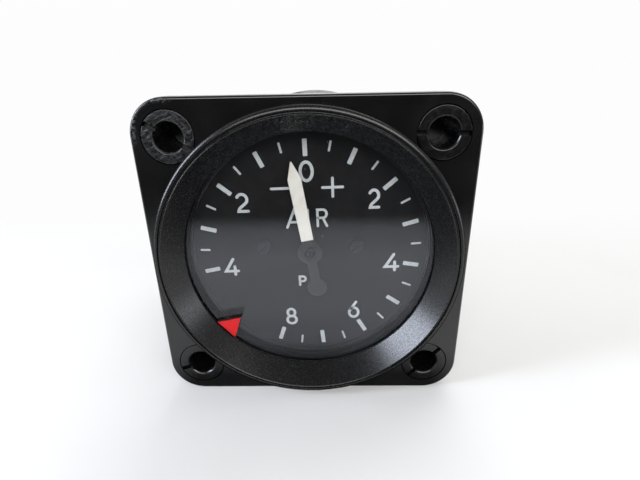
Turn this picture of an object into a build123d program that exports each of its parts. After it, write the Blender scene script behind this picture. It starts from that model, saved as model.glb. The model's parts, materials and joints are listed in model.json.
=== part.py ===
from build123d import *
import os
from math import acos, atan2, cos, degrees, hypot, pi, radians, sin, sqrt, tan

os.makedirs("parts", exist_ok=True)

# Aircraft pressure gauge for a 2 1/4 inch panel cut-out.
# The origin is the centre of the flange's front face, on the dial axis. A depth is a distance
# along +Y, from the flange's front face back into the case. +Z is up and +X is to the right as
# the dial is read. Every size is in millimetres.

# Flange and case
flange_side = 60.33
hole_spacing = 47.15
flange_thickness = 5.0
flange_front_edge = 0.5
flange_rear_edge = 1.2
corner_radius = (flange_side - hole_spacing) / 2
boss_radius = 6.2
boss_rear = 12.0
boss_draft = 1.5
boss_edge = 0.8
barrel_radius = 27.5
cavity_radius = 24.6
rim_radius = 29.4
rim_front = 46.0
case_rear = 53.5

# Slotted mounting inserts, tapped from the front and closed behind
insert_head_radius = 4.62
insert_head_gap = 0.14
insert_head_thickness = 1.6
insert_shank_radius = 3.75
insert_rear = 11.0
insert_bore_radius = 2.62
insert_bore_depth = 10.0
insert_mouth_edge = 0.3
insert_rim_edge = 0.12
insert_slot_width = 0.9
insert_slot_depth = 1.1
insert_slot_angles = {"top_left": -32, "top_right": -1, "bottom_left": 18, "bottom_right": 48}

# Bezel, glass and dial stack
seat_radius = 28.85
seat_height = 0.3
bezel_radius = 28.8
bezel_front = -3.25
groove_depth = 0.35
cone_mouth_radius = 27.15
lip_radius = 24.06
lip_front = 0.85
spigot_radius = 26.9
spigot_rear = 3.2
glass_radius = 25.6
glass_front = 1.4
glass_thickness = 1.5
seal_thickness = 0.25
spacer_steps = (24.05, 23.85, 23.65)
dial_front = 5.6
dial_thickness = 0.8
seat_clearance = 0.1

# Red limit marker on the glass, an equilateral block with its point towards the dial's centre
marker_angle = 228.4
marker_point_radius = 19.15
marker_base_radius = 23.62
marker_front = 0.5
marker_edge = 0.12

# Pointer and its range on the scale
degrees_per_psi = 25.0
dial_turn = -1.32
rest_reading = -0.33
pointer_angle = dial_turn + rest_reading * degrees_per_psi
pointer_front = 4.0
pointer_thickness = 0.35
blade_root = 2.9
blade_shoulder = 15.3
blade_tip = 18.7
blade_root_width = 2.45
blade_shoulder_width = 2.6
hub_disc_radius = 2.55
neck_width = 2.1
tail_centre = 7.9
tail_radius = 2.1
screw_spread = 19.0
screw_height = 0.8

# Movement plates, pillars and posts
front_plate_front = 9.0
back_plate_front = 18.0
plate_thickness = 1.4
plate_radius = 18.0
pillar_circle = 15.5
pillar_angles = (50, 130, -75)
pillar_radius = 1.6
post_circle = 16.0
post_angles = (90, 224, 316)
post_radius = 1.8

# Sector and pinion
tooth_module = 0.25
pinion_teeth = 12
sector_full_teeth = 108
sector_teeth = 15
pressure_angle = 20.0
backlash = 0.03
pinion_front = 12.2
pinion_rear = 15.2
sector_front = 13.5
sector_thickness = 0.8
sector_rim_width = 2.0
sector_tail = 5.0
shaft_height = -5.0

# Rocking shaft, link and capsules
shaft_depth = 25.0
shaft_radius = 0.75
shaft_left = -20.5
shaft_right = 4.5
left_ear = -15.2
right_ear = 4.0
ear_thickness = 0.8
link_length = 6.8
link_pin_radius = 0.4
link_left = 0.75
link_thickness = 0.7
open_pivot_radius = 0.62
capsule_radius = 13.0
capsule_wall = 0.3
capsule_front = 35.0
capsule_thickness = 4.6
capsule_gap = 1.0

# Rear cover and fittings
cover_thickness = 4.5
gasket_thickness = 0.5
cover_boss_radius = 8.5
cover_boss_height = 3.5
cover_screw_circle = 27.1
cover_screw_radius = 1.2
cover_screw_depth = 3.5
cover_screw_angles = (45, 135, 225, 315)
union_thread_radius = 4.86
union_thread_length = 12.0
union_hex = 14.0
union_hex_height = 5.5
washer_radius = 7.2
washer_thickness = 1.0
union_bore_radius = 1.6
vent_height = -17.0
vent_hex = 6.0
vent_hex_height = 2.4
vent_shank_radius = 2.0
vent_bore_radius = 0.6
cover_web = 3.1
cover_rib_width = 2.0
cover_boss_draft = 3
cover_rib_angles = (0, 60, 120)

running_clearance = 0.03
press_clearance = 0.01

# Places that follow from the sizes above
glass_rear = glass_front + glass_thickness
dial_rear = dial_front + dial_thickness
front_plate_rear = front_plate_front + plate_thickness
back_plate_rear = back_plate_front + plate_thickness
cover_front = case_rear + gasket_thickness
cover_rear = cover_front + cover_thickness
web_rear = cover_front + cover_web
boss_end = cover_rear + cover_boss_height
pinion_pitch_radius = tooth_module * pinion_teeth / 2
sector_pitch_radius = tooth_module * sector_full_teeth / 2
arbor_distance = pinion_pitch_radius + sector_pitch_radius + backlash
arbor_x = -sqrt(arbor_distance**2 - shaft_height**2)
arbor_z = shaft_height
post_pin_depth = shaft_depth + link_length
contact_x = arbor_x - sector_tail
rear_capsule_front = capsule_front + capsule_thickness + capsule_gap
rear_capsule_rear = rear_capsule_front + capsule_thickness


def facing(depth):
    """Plane parallel to the dial at a depth, seen as the dial is read: x right, y up."""
    return Plane.XZ.offset(-depth)


def along_x(x):
    """Plane square to the rocking shaft at a place along it: x is depth, y is up."""
    return Plane(origin=(x, 0, 0), x_dir=(0, 1, 0), z_dir=(1, 0, 0))


def half_section(points):
    """Face between a closed outline of (radius, depth) points, to be turned about Y."""
    with BuildSketch(Plane.XY) as section:
        with BuildLine():
            Polyline(*points, close=True)
        make_face()
    return section.sketch


def on_circle(radius, angle):
    """Point at a radius and an angle that is counted anticlockwise from +X."""
    return radius * cos(radians(angle)), radius * sin(radians(angle))


def from_top(radius, clockwise):
    """Point at a radius and an angle that is counted clockwise from the top of the dial."""
    return on_circle(radius, 90 - clockwise)


def finish(piece, label):
    piece.part.label = label
    export_step(piece.part, f"parts/{label}.step")


def slotted_screw(label, place, seat, head, shank, inward=1, slot_angle=35):
    """Cheese-head screw; head and shank are (radius, length) pairs and the seat is the depth
    under the head. The shank runs to the rear where inward is 1, to the front where it is -1."""
    head_radius, head_height = head
    shank_radius, shank_length = shank
    with BuildPart() as screw:
        with BuildSketch(facing(seat)):
            with Locations(place):
                Circle(head_radius)
        extrude(amount=inward * head_height)
        top_face = screw.faces().sort_by(Axis.Y)[0 if inward == 1 else -1]
        chamfer(top_face.edges(), head_height * 0.2)
        with BuildSketch(facing(seat)):
            with Locations(place):
                Circle(shank_radius)
        extrude(amount=-inward * shank_length)
        with BuildSketch(facing(seat - inward * head_height)):
            with Locations(place):
                Rectangle(2.2 * head_radius, head_radius * 0.27, rotation=slot_angle)
        extrude(amount=-inward * head_height * 0.45, mode=Mode.SUBTRACT)
    finish(screw, label)


def post(label, place, front, rear, radius, bore, spigot):
    """Turned pillar, tapped from the front, with a riveting spigot behind."""
    with BuildPart() as pillar:
        for end_front, length, end_radius in ((front, rear - front, radius), (rear, spigot[1], spigot[0])):
            with BuildSketch(facing(end_front)):
                with Locations(place):
                    Circle(end_radius)
            extrude(amount=-length)
        with BuildSketch(facing(front)):
            with Locations(place):
                Circle(bore[0])
        extrude(amount=-bore[1], mode=Mode.SUBTRACT)
    finish(pillar, label)


cover_screw_places = [on_circle(cover_screw_circle, angle) for angle in cover_screw_angles]

# Case: flange, corner bosses and barrel in one moulding, open at the rear
with BuildPart() as case_body:
    with BuildSketch(facing(0)):
        RectangleRounded(flange_side, flange_side, corner_radius)
    extrude(amount=-flange_thickness)
    fillet(case_body.faces().sort_by(Axis.Y)[-1].edges(), flange_rear_edge)
    fillet(case_body.faces().sort_by(Axis.Y)[0].edges(), flange_front_edge)
    with BuildSketch(facing(flange_thickness)):
        with GridLocations(hole_spacing, hole_spacing, 2, 2):
            Circle(boss_radius)
    extrude(amount=-(boss_rear - flange_thickness), taper=boss_draft)
    fillet(case_body.edges().filter_by(GeomType.CIRCLE).group_by(Axis.Y)[-1], boss_edge)
    barrel_outline = [
        (0, -seat_height),
        (seat_radius, -seat_height),
        (seat_radius, 1.0),
        (barrel_radius, 1.0),
        (barrel_radius, rim_front),
        (rim_radius, rim_front + 2.0),
        (rim_radius, case_rear - 0.4),
        (rim_radius - 0.4, case_rear),
        (0, case_rear),
    ]
    revolve(half_section(barrel_outline), axis=Axis.Y)
    bore_outline = [
        (0, -1.0),
        (spigot_radius + running_clearance, -1.0),
        (spigot_radius + running_clearance, spigot_rear + 0.4),
        (glass_radius + seat_clearance, spigot_rear + 0.4),
        (glass_radius + seat_clearance, dial_rear),
        (cavity_radius, dial_rear),
        (cavity_radius, case_rear + 1.0),
        (0, case_rear + 1.0),
    ]
    revolve(half_section(bore_outline), axis=Axis.Y, mode=Mode.SUBTRACT)
    with BuildSketch(facing(0)):
        with GridLocations(hole_spacing, hole_spacing, 2, 2):
            Circle(insert_head_radius + insert_head_gap)
    extrude(amount=-insert_head_thickness, mode=Mode.SUBTRACT)
    with BuildSketch(facing(insert_head_thickness)):
        with GridLocations(hole_spacing, hole_spacing, 2, 2):
            Circle(insert_shank_radius + press_clearance)
    extrude(amount=-(insert_rear - insert_head_thickness), mode=Mode.SUBTRACT)
    with BuildSketch(facing(case_rear)):
        with Locations(*cover_screw_places):
            Circle(cover_screw_radius + press_clearance)
    extrude(amount=cover_screw_depth + 1.0, mode=Mode.SUBTRACT)
finish(case_body, "case_body")

# Mounting inserts: flush slotted head, shank down in the boss, blind bore chamfered at its mouth
for corner, slot_angle in insert_slot_angles.items():
    insert_x = hole_spacing / 2 * (-1 if corner.endswith("left") else 1)
    insert_z = hole_spacing / 2 * (-1 if corner.startswith("bottom") else 1)
    with BuildPart() as mount_insert:
        with BuildSketch(facing(0)):
            with Locations((insert_x, insert_z)):
                Circle(insert_head_radius)
        extrude(amount=-insert_head_thickness)
        with BuildSketch(facing(insert_head_thickness)):
            with Locations((insert_x, insert_z)):
                Circle(insert_shank_radius)
        extrude(amount=-(insert_rear - insert_head_thickness))
        with BuildSketch(facing(0)):
            with Locations((insert_x, insert_z)):
                Circle(insert_bore_radius)
        extrude(amount=-insert_bore_depth, mode=Mode.SUBTRACT)
        mouth = mount_insert.edges().filter_by(GeomType.CIRCLE).group_by(Axis.Y)[0].sort_by(SortBy.RADIUS)
        chamfer(mouth[0], insert_mouth_edge)
        chamfer(mouth[-1], insert_rim_edge)
        with BuildSketch(facing(0)):
            with Locations((insert_x, insert_z)):
                Rectangle(2 * insert_head_radius + 1, insert_slot_width, rotation=slot_angle)
        extrude(amount=-insert_slot_depth, mode=Mode.SUBTRACT)
    finish(mount_insert, f"mount_insert_{corner}")

# Bezel: rounded rim, shallow ring groove, deep cone down to the lip, threaded spigot behind
with BuildPart() as bezel_ring:
    with BuildSketch(Plane.XY):
        with BuildLine():
            rim_start = (bezel_radius, bezel_front + 1.0)
            rim_end = (bezel_radius - 0.75, bezel_front + 0.2)
            Polyline(
                (spigot_radius, spigot_rear),
                (spigot_radius, -seat_height),
                (bezel_radius, -seat_height),
                rim_start,
            )
            TangentArc(rim_start, rim_end, tangent=(0, -1))
            Polyline(
                rim_end,
                (rim_end[0] - 0.2, bezel_front + 0.2),
                (rim_end[0] - 0.3, bezel_front + 0.2 + groove_depth),
                (cone_mouth_radius + 0.3, bezel_front + 0.2 + groove_depth),
                (cone_mouth_radius + 0.2, bezel_front + 0.05),
                (cone_mouth_radius + 0.1, bezel_front),
                (cone_mouth_radius, bezel_front + 0.08),
                (lip_radius, lip_front),
                (lip_radius, glass_front - seal_thickness),
                (glass_radius + seat_clearance, glass_front - seal_thickness),
                (glass_radius + seat_clearance, spigot_rear),
                (spigot_radius, spigot_rear),
            )
        make_face()
    revolve(axis=Axis.Y)
finish(bezel_ring, "bezel_ring")

with BuildPart() as glass_seal:
    with BuildSketch(facing(glass_front - seal_thickness)):
        Circle(glass_radius)
        Circle(lip_radius + 0.1, mode=Mode.SUBTRACT)
    extrude(amount=-seal_thickness)
finish(glass_seal, "glass_seal")

with BuildPart() as cover_glass:
    with BuildSketch(facing(glass_front)):
        Circle(glass_radius)
    extrude(amount=-glass_thickness)
    chamfer(cover_glass.edges(), 0.15)
finish(cover_glass, "cover_glass")


def marker_outline():
    """Equilateral triangle with its point at the marker's inner radius."""
    length = marker_base_radius - marker_point_radius
    half_base = length * tan(radians(30))
    with BuildSketch(facing(0)) as outline:
        with BuildLine():
            Polyline((0, 0), (half_base, length), (-half_base, length), close=True)
        make_face()
    flat = outline.sketch_local
    return flat.rotate(Axis.Z, -marker_angle).translate(Vector(*from_top(marker_point_radius, marker_angle)))


# Limit marker: stuck on the front of the glass, just inside the bezel's lip
with BuildPart() as limit_marker:
    with BuildSketch(facing(marker_front)):
        add(marker_outline())
    extrude(amount=-(glass_front - marker_front))
    chamfer(limit_marker.faces().sort_by(Axis.Y)[0].edges(), marker_edge)
finish(limit_marker, "limit_marker")

# Spacer ring: fine steps down to the dial
with BuildPart() as spacer_ring:
    step_depth = (dial_front - glass_rear) / len(spacer_steps)
    inner_wall = []
    for step, radius in enumerate(spacer_steps):
        inner_wall.append((radius, glass_rear + step * step_depth))
        inner_wall.append((radius, glass_rear + (step + 1) * step_depth))
    ring_outline = [(glass_radius, dial_front), (glass_radius, glass_rear)] + inner_wall
    revolve(half_section(ring_outline), axis=Axis.Y)
finish(spacer_ring, "spacer_ring")

# Dial: flat disc on the ledge inside the case, held by two screws to the movement
screw_places = {
    "left": (-screw_spread / 2, screw_height),
    "right": (screw_spread / 2, screw_height),
}
with BuildPart() as dial_plate:
    with BuildSketch(facing(dial_front)):
        Circle(glass_radius)
        Circle(1.7, mode=Mode.SUBTRACT)
        with Locations(*screw_places.values()):
            Circle(0.9, mode=Mode.SUBTRACT)
    extrude(amount=-dial_thickness)
finish(dial_plate, "dial_plate")

for side, place in screw_places.items():
    slotted_screw(f"dial_screw_{side}", place, dial_front, (1.5, 0.7), (0.8, 3.0))
    post(
        f"dial_pillar_{side}",
        place,
        dial_rear,
        front_plate_front,
        2.1,
        (0.8 + press_clearance, 3.2),
        (1.3, plate_thickness),
    )

# Pointer: blade, disc, neck and tail in one stamping, turned to where it stands at rest
with BuildPart() as pointer:
    with BuildSketch(facing(pointer_front)) as stamping:
        with BuildLine():
            Polyline(
                (-blade_root_width / 2, 0),
                (-blade_root_width / 2, blade_root),
                (-blade_shoulder_width / 2, blade_shoulder),
                (0, blade_tip),
                (blade_shoulder_width / 2, blade_shoulder),
                (blade_root_width / 2, blade_root),
                (blade_root_width / 2, 0),
                close=True,
            )
        make_face()
        Circle(hub_disc_radius)
        with Locations((0, -tail_centre / 2)):
            Rectangle(neck_width, tail_centre)
        with Locations((0, -tail_centre)):
            Circle(tail_radius)
        Circle(1.0 + press_clearance, mode=Mode.SUBTRACT)
    extrude(amount=-pointer_thickness)
pointer.part = pointer.part.rotate(Axis.Y, pointer_angle)
finish(pointer, "pointer")

with BuildPart() as pointer_hub:
    hub_front = pointer_front - 0.25
    hub_rear = pointer_front + 1.25
    pointer_rear = pointer_front + pointer_thickness
    hub_outline = [
        (0.45, hub_front),
        (1.0, hub_front),
        (1.0, pointer_rear),
        (1.5, pointer_rear),
        (1.5, pointer_rear + 0.3),
        (1.0, pointer_rear + 0.3),
        (1.0, hub_rear),
        (0.45, hub_rear),
    ]
    revolve(half_section(hub_outline), axis=Axis.Y)
finish(pointer_hub, "pointer_hub")


def involute(base_radius, radius, half_thickness_at_base, side):
    """Point of a tooth flank, with the tooth's middle on +Y."""
    roll = sqrt(max((radius / base_radius) ** 2 - 1, 0))
    turned = roll - atan2(roll, 1)
    angle = half_thickness_at_base - turned
    return side * radius * sin(angle), radius * cos(angle)


def gear_tooth(teeth):
    """One involute tooth on +Y, rooted a little inside the root circle."""
    pitch_radius = tooth_module * teeth / 2
    base_radius = pitch_radius * cos(radians(pressure_angle))
    root_radius = pitch_radius - 1.25 * tooth_module
    tip_radius = pitch_radius + 0.95 * tooth_module
    roll_at_pitch = tan(radians(pressure_angle)) - radians(pressure_angle)
    half_at_pitch = pi / (2 * teeth) - 0.5 * backlash / pitch_radius
    half_at_base = half_at_pitch + roll_at_pitch
    start_radius = max(base_radius, root_radius)
    middle_radius = (start_radius + tip_radius) / 2
    with BuildSketch(Plane.XY) as tooth:
        with BuildLine():
            flank_ends = []
            for side in (1, -1):
                foot = involute(base_radius, start_radius, half_at_base, side)
                middle = involute(base_radius, middle_radius, half_at_base, side)
                tip = involute(base_radius, tip_radius, half_at_base, side)
                root = (foot[0], root_radius * 0.97)
                Line(root, foot)
                ThreePointArc(foot, middle, tip)
                flank_ends.append((root, tip))
            Line(flank_ends[0][0], flank_ends[1][0])
            ThreePointArc(flank_ends[0][1], (0, tip_radius), flank_ends[1][1])
        make_face()
    return tooth.sketch_local


# Pointer staff: pivots in both plates, pinion cut in one with it
with BuildPart() as pinion_staff:
    staff_outline = [
        (0, pointer_front - 0.4),
        (0.35, pointer_front - 0.4),
        (0.43, pointer_front),
        (0.43, dial_front),
        (0.75, dial_front),
        (0.75, front_plate_front - 0.2),
        (0.5, front_plate_front - 0.2),
        (0.5, front_plate_rear + 0.1),
        (1.0, front_plate_rear + 0.1),
        (1.0, pinion_front),
        (0.8, pinion_front),
        (0.8, back_plate_front - 0.1),
        (0.45, back_plate_front - 0.1),
        (0.45, back_plate_rear - 0.1),
        (0, back_plate_rear - 0.1),
    ]
    revolve(half_section(staff_outline), axis=Axis.Y)
    with BuildSketch(facing(pinion_front)):
        Circle(pinion_pitch_radius - 1.25 * tooth_module)
        # half a pitch off the line to the arbor, so that a gap meets the sector's middle tooth
        mesh_direction = degrees(atan2(arbor_z, arbor_x))
        pinion_pitch = 360 / pinion_teeth
        for number in range(pinion_teeth):
            turn = mesh_direction - 90 + (number + 0.5) * pinion_pitch
            add(gear_tooth(pinion_teeth).rotate(Axis.Z, turn))
    extrude(amount=-(pinion_rear - pinion_front))
finish(pinion_staff, "pinion_staff")

# Hairspring: flat spiral from its collet out to a stud on the back plate
spring_depth = 16.3
spring_width = 0.4
spring_thickness = 0.12
spring_inner = 1.5
spring_outer = 5.7
spring_turns = 4
spring_angle = 200
with BuildPart() as hairspring_collet:
    with BuildSketch(facing(15.8)):
        Circle(1.5)
        Circle(0.8 + press_clearance, mode=Mode.SUBTRACT)
    extrude(amount=-1.2)
finish(hairspring_collet, "hairspring_collet")

with BuildPart() as hairspring:
    with BuildSketch(facing(spring_depth)):
        with BuildLine():
            half_turns = 2 * spring_turns
            growth = (spring_outer - spring_inner) / half_turns
            for edge_shift in (0, spring_thickness):
                for half_turn in range(half_turns):
                    # the half turns have two centres in turn, one growth step apart
                    odd = half_turn % 2
                    start_angle = spring_angle + 180 * odd
                    centre = Vector(*on_circle(growth * odd, spring_angle))
                    radius = spring_inner + growth * half_turn + edge_shift
                    ThreePointArc(*[centre + on_circle(radius, start_angle + a) for a in (0, 90, 180)])
            for end_radius in (spring_inner, spring_outer):
                end_points = [on_circle(end_radius + shift, spring_angle) for shift in (0, spring_thickness)]
                Line(*end_points)
        make_face()
    extrude(amount=-spring_width)
finish(hairspring, "hairspring")

with BuildPart() as hairspring_stud:
    stud_x, stud_z = on_circle(spring_outer + spring_thickness + 0.5, spring_angle)
    with BuildSketch(facing(spring_depth - 0.3)):
        with Locations((stud_x, stud_z)):
            Circle(0.5)
    extrude(amount=-(back_plate_rear - spring_depth + 0.3))
finish(hairspring_stud, "hairspring_stud")

# Movement plates
pillar_places = [on_circle(pillar_circle, angle) for angle in pillar_angles]
post_places = [on_circle(post_circle, angle) for angle in post_angles]
bracket_screw_places = [(-9.5, shaft_height), (-4.5, shaft_height)]

with BuildPart() as front_plate:
    with BuildSketch(facing(front_plate_front)):
        Circle(plate_radius)
        Circle(0.5 + running_clearance, mode=Mode.SUBTRACT)
        with Locations((arbor_x, arbor_z)):
            Circle(0.5 + running_clearance, mode=Mode.SUBTRACT)
        with Locations(*pillar_places):
            Circle(0.85, mode=Mode.SUBTRACT)
        with Locations(*screw_places.values()):
            Circle(1.3 + press_clearance, mode=Mode.SUBTRACT)
        with Locations((2.5, 11.0), (10.5, -8.5)):
            Circle(3.2, mode=Mode.SUBTRACT)
    extrude(amount=-plate_thickness)
finish(front_plate, "front_plate")

with BuildPart() as back_plate:
    with BuildSketch(facing(back_plate_front)):
        Circle(plate_radius)
        Circle(0.45 + running_clearance, mode=Mode.SUBTRACT)
        with Locations((arbor_x, arbor_z)):
            Circle(0.45 + running_clearance, mode=Mode.SUBTRACT)
        with Locations(*pillar_places):
            Circle(1.0 + press_clearance, mode=Mode.SUBTRACT)
        with Locations(*post_places):
            Circle(1.05, mode=Mode.SUBTRACT)
        with Locations(*bracket_screw_places):
            Circle(0.7 + press_clearance, mode=Mode.SUBTRACT)
        with Locations((stud_x, stud_z)):
            Circle(0.5 + press_clearance, mode=Mode.SUBTRACT)
    extrude(amount=-plate_thickness)
finish(back_plate, "back_plate")

for number, place in enumerate(pillar_places, start=1):
    pillar_bore = (0.8 + press_clearance, 3.0)
    pillar_spigot = (1.0, plate_thickness)
    post(
        f"plate_pillar_{number}",
        place,
        front_plate_rear,
        back_plate_front,
        pillar_radius,
        pillar_bore,
        pillar_spigot,
    )
    slotted_screw(f"plate_screw_{number}", place, front_plate_front, (1.5, 0.8), (0.8, 4.0))

for number, place in enumerate(post_places, start=1):
    post_bore = (1.0 + press_clearance, 5.0)
    post_spigot = (1.2, cover_web)
    post(
        f"movement_post_{number}",
        place,
        back_plate_rear,
        cover_front,
        post_radius,
        post_bore,
        post_spigot,
    )
    slotted_screw(f"post_screw_{number}", place, back_plate_front, (1.7, 0.9), (1.0, 5.0))

# Sector: toothed rim on two spokes, hub on the arbor, slotted tail on the other side
with BuildPart() as sector_gear:
    to_pinion = degrees(atan2(-arbor_z, -arbor_x))
    sector_pitch = 360 / sector_full_teeth
    pointer_low = -4 * degrees_per_psi + dial_turn - pointer_angle
    pointer_high = 8 * degrees_per_psi + dial_turn - pointer_angle
    gear_ratio = sector_full_teeth / pinion_teeth
    mesh_middle = round(-(pointer_high + pointer_low) / 2 / gear_ratio / sector_pitch)
    rim_middle = to_pinion + mesh_middle * sector_pitch
    root_radius = sector_pitch_radius - 1.25 * tooth_module
    half_span = sector_teeth * sector_pitch / 2
    with BuildSketch(facing(sector_front)):
        with Locations((arbor_x, arbor_z)):
            Circle(root_radius)
            Circle(root_radius - sector_rim_width, mode=Mode.SUBTRACT)
        with BuildLine(mode=Mode.PRIVATE) as wedge:
            far = 2 * root_radius
            apex = Vector(arbor_x, arbor_z)
            low_x, low_z = on_circle(far, rim_middle - half_span)
            high_x, high_z = on_circle(far, rim_middle + half_span)
            Polyline(apex, apex + Vector(low_x, low_z), apex + Vector(high_x, high_z), close=True)
        add(make_face(wedge.edges(), mode=Mode.PRIVATE), mode=Mode.INTERSECT)
        spoke_length = root_radius - sector_rim_width / 2
        for spoke_angle in (rim_middle - half_span * 0.72, rim_middle + half_span * 0.72):
            spoke_x, spoke_z = on_circle(spoke_length / 2, spoke_angle)
            with Locations(Location((arbor_x + spoke_x, arbor_z + spoke_z, 0), (0, 0, spoke_angle))):
                Rectangle(spoke_length, 1.6)
        with Locations((arbor_x, arbor_z)):
            Circle(2.2)
        with Locations((arbor_x - sector_tail / 2, arbor_z)):
            Rectangle(sector_tail, 2.0)
        with Locations((contact_x - 0.2, arbor_z)):
            SlotOverall(3.6, 2.6)
            SlotOverall(2.0, 1.2, mode=Mode.SUBTRACT)
        for number in range(sector_teeth):
            turn = rim_middle + (number - (sector_teeth - 1) / 2) * sector_pitch - 90
            tooth = gear_tooth(sector_full_teeth).rotate(Axis.Z, turn)
            add(tooth.translate(Vector(arbor_x, arbor_z)))
        with Locations((arbor_x, arbor_z)):
            Circle(1.0 + press_clearance, mode=Mode.SUBTRACT)
    extrude(amount=-sector_thickness)
finish(sector_gear, "sector_gear")

with BuildPart() as sector_arbor:
    arbor_outline = [
        (0, front_plate_front + 0.1),
        (0.5, front_plate_front + 0.1),
        (0.5, front_plate_rear + 0.1),
        (1.0, front_plate_rear + 0.1),
        (1.0, sector_front + sector_thickness),
        (1.6, sector_front + sector_thickness),
        (1.6, sector_front + sector_thickness + 0.8),
        (1.0, sector_front + sector_thickness + 0.8),
        (1.0, back_plate_front - 0.1),
        (0.45, back_plate_front - 0.1),
        (0.45, back_plate_rear - 0.1),
        (0, back_plate_rear - 0.1),
    ]
    revolve(half_section(arbor_outline), axis=Axis.Y)
sector_arbor.part = sector_arbor.part.translate(Vector(arbor_x, 0, arbor_z))
finish(sector_arbor, "sector_arbor")

# Rocking shaft in two ears of a bracket behind the back plate
with BuildPart() as rocking_bracket:
    bracket_length = right_ear - left_ear + ear_thickness
    with BuildSketch(facing(back_plate_rear)):
        with Locations(((left_ear + right_ear) / 2, shaft_height)):
            Rectangle(bracket_length, 4.4)
        with Locations(*bracket_screw_places):
            Circle(0.75, mode=Mode.SUBTRACT)
    extrude(amount=-ear_thickness)
    ear_bores = {
        left_ear: shaft_radius + running_clearance,
        right_ear: 0.5 + running_clearance,
    }
    for ear_x, bore in ear_bores.items():
        with BuildSketch(along_x(ear_x - ear_thickness / 2)):
            with Locations(((back_plate_rear + shaft_depth) / 2, shaft_height)):
                Rectangle(shaft_depth - back_plate_rear, 4.4)
            with Locations((shaft_depth, shaft_height)):
                Circle(2.2)
                Circle(bore, mode=Mode.SUBTRACT)
        extrude(amount=ear_thickness)
finish(rocking_bracket, "rocking_bracket")

for number, place in enumerate(bracket_screw_places, start=1):
    screw_length = ear_thickness + plate_thickness
    slotted_screw(
        f"bracket_screw_{number}",
        place,
        back_plate_rear + ear_thickness,
        (1.3, 0.7),
        (0.7, screw_length),
        inward=-1,
    )

with BuildPart() as rocking_shaft:
    with BuildSketch(along_x(shaft_left)):
        with Locations((shaft_depth, shaft_height)):
            Circle(shaft_radius)
    extrude(amount=right_ear - ear_thickness / 2 - 0.1 - shaft_left)
    with BuildSketch(along_x(right_ear - ear_thickness / 2 - 0.1)):
        with Locations((shaft_depth, shaft_height)):
            Circle(0.5)
    extrude(amount=shaft_right - right_ear + ear_thickness / 2 + 0.1)
finish(rocking_shaft, "rocking_shaft")

with BuildPart() as link_arm:
    with BuildSketch(along_x(-0.9)):
        with Locations((shaft_depth, shaft_height)):
            Circle(1.6)
    extrude(amount=1.8)
    with BuildSketch(along_x(-0.5)):
        with Locations((shaft_depth, shaft_height / 2)):
            Rectangle(1.4, -shaft_height)
        with Locations((shaft_depth, 0)):
            Circle(0.9)
    extrude(amount=1.0)
    with BuildSketch(along_x(0.5)):
        with Locations((shaft_depth, 0)):
            Circle(link_pin_radius)
    extrude(amount=link_left + link_thickness - 0.5 + 0.3)
    with BuildSketch(along_x(-0.9)):
        with Locations((shaft_depth, shaft_height)):
            Circle(shaft_radius + press_clearance)
    extrude(amount=1.8, mode=Mode.SUBTRACT)
finish(link_arm, "link_arm")

with BuildPart() as contact_arm:
    with BuildSketch(along_x(contact_x - 0.9)):
        with Locations((shaft_depth, shaft_height)):
            Circle(1.6)
    extrude(amount=1.8)
    rod_front = sector_front - 0.9
    with BuildSketch(facing(rod_front)):
        with Locations((contact_x, shaft_height)):
            Circle(0.4)
    extrude(amount=-(shaft_depth - 1.0 - rod_front))
    with BuildSketch(along_x(contact_x - 0.9)):
        with Locations((shaft_depth, shaft_height)):
            Circle(shaft_radius + press_clearance)
    extrude(amount=1.8, mode=Mode.SUBTRACT)
finish(contact_arm, "contact_arm")

with BuildPart() as capsule_link:
    with BuildSketch(along_x(link_left)):
        with Locations(((shaft_depth + post_pin_depth) / 2, 0)):
            Rectangle(link_length, 1.4)
        with Locations((shaft_depth, 0), (post_pin_depth, 0)):
            Circle(1.15)
        with Locations((shaft_depth, 0)):
            Circle(link_pin_radius + running_clearance, mode=Mode.SUBTRACT)
        with Locations((post_pin_depth, 0)):
            Circle(open_pivot_radius, mode=Mode.SUBTRACT)
    extrude(amount=link_thickness)
finish(capsule_link, "capsule_link")

with BuildPart() as capsule_post:
    base_front = capsule_front - 0.8
    with BuildSketch(facing(base_front)):
        Circle(2.4)
    extrude(amount=-0.8)
    with BuildSketch(along_x(-0.5)):
        with Locations(((post_pin_depth + base_front) / 2, 0)):
            Rectangle(base_front - post_pin_depth, 1.8)
        with Locations((post_pin_depth, 0)):
            Circle(0.9)
    extrude(amount=1.0)
    with BuildSketch(along_x(0.5)):
        with Locations((post_pin_depth, 0)):
            Circle(link_pin_radius)
    extrude(amount=link_left + link_thickness - 0.5 + 0.3)
finish(capsule_post, "capsule_post")


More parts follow.
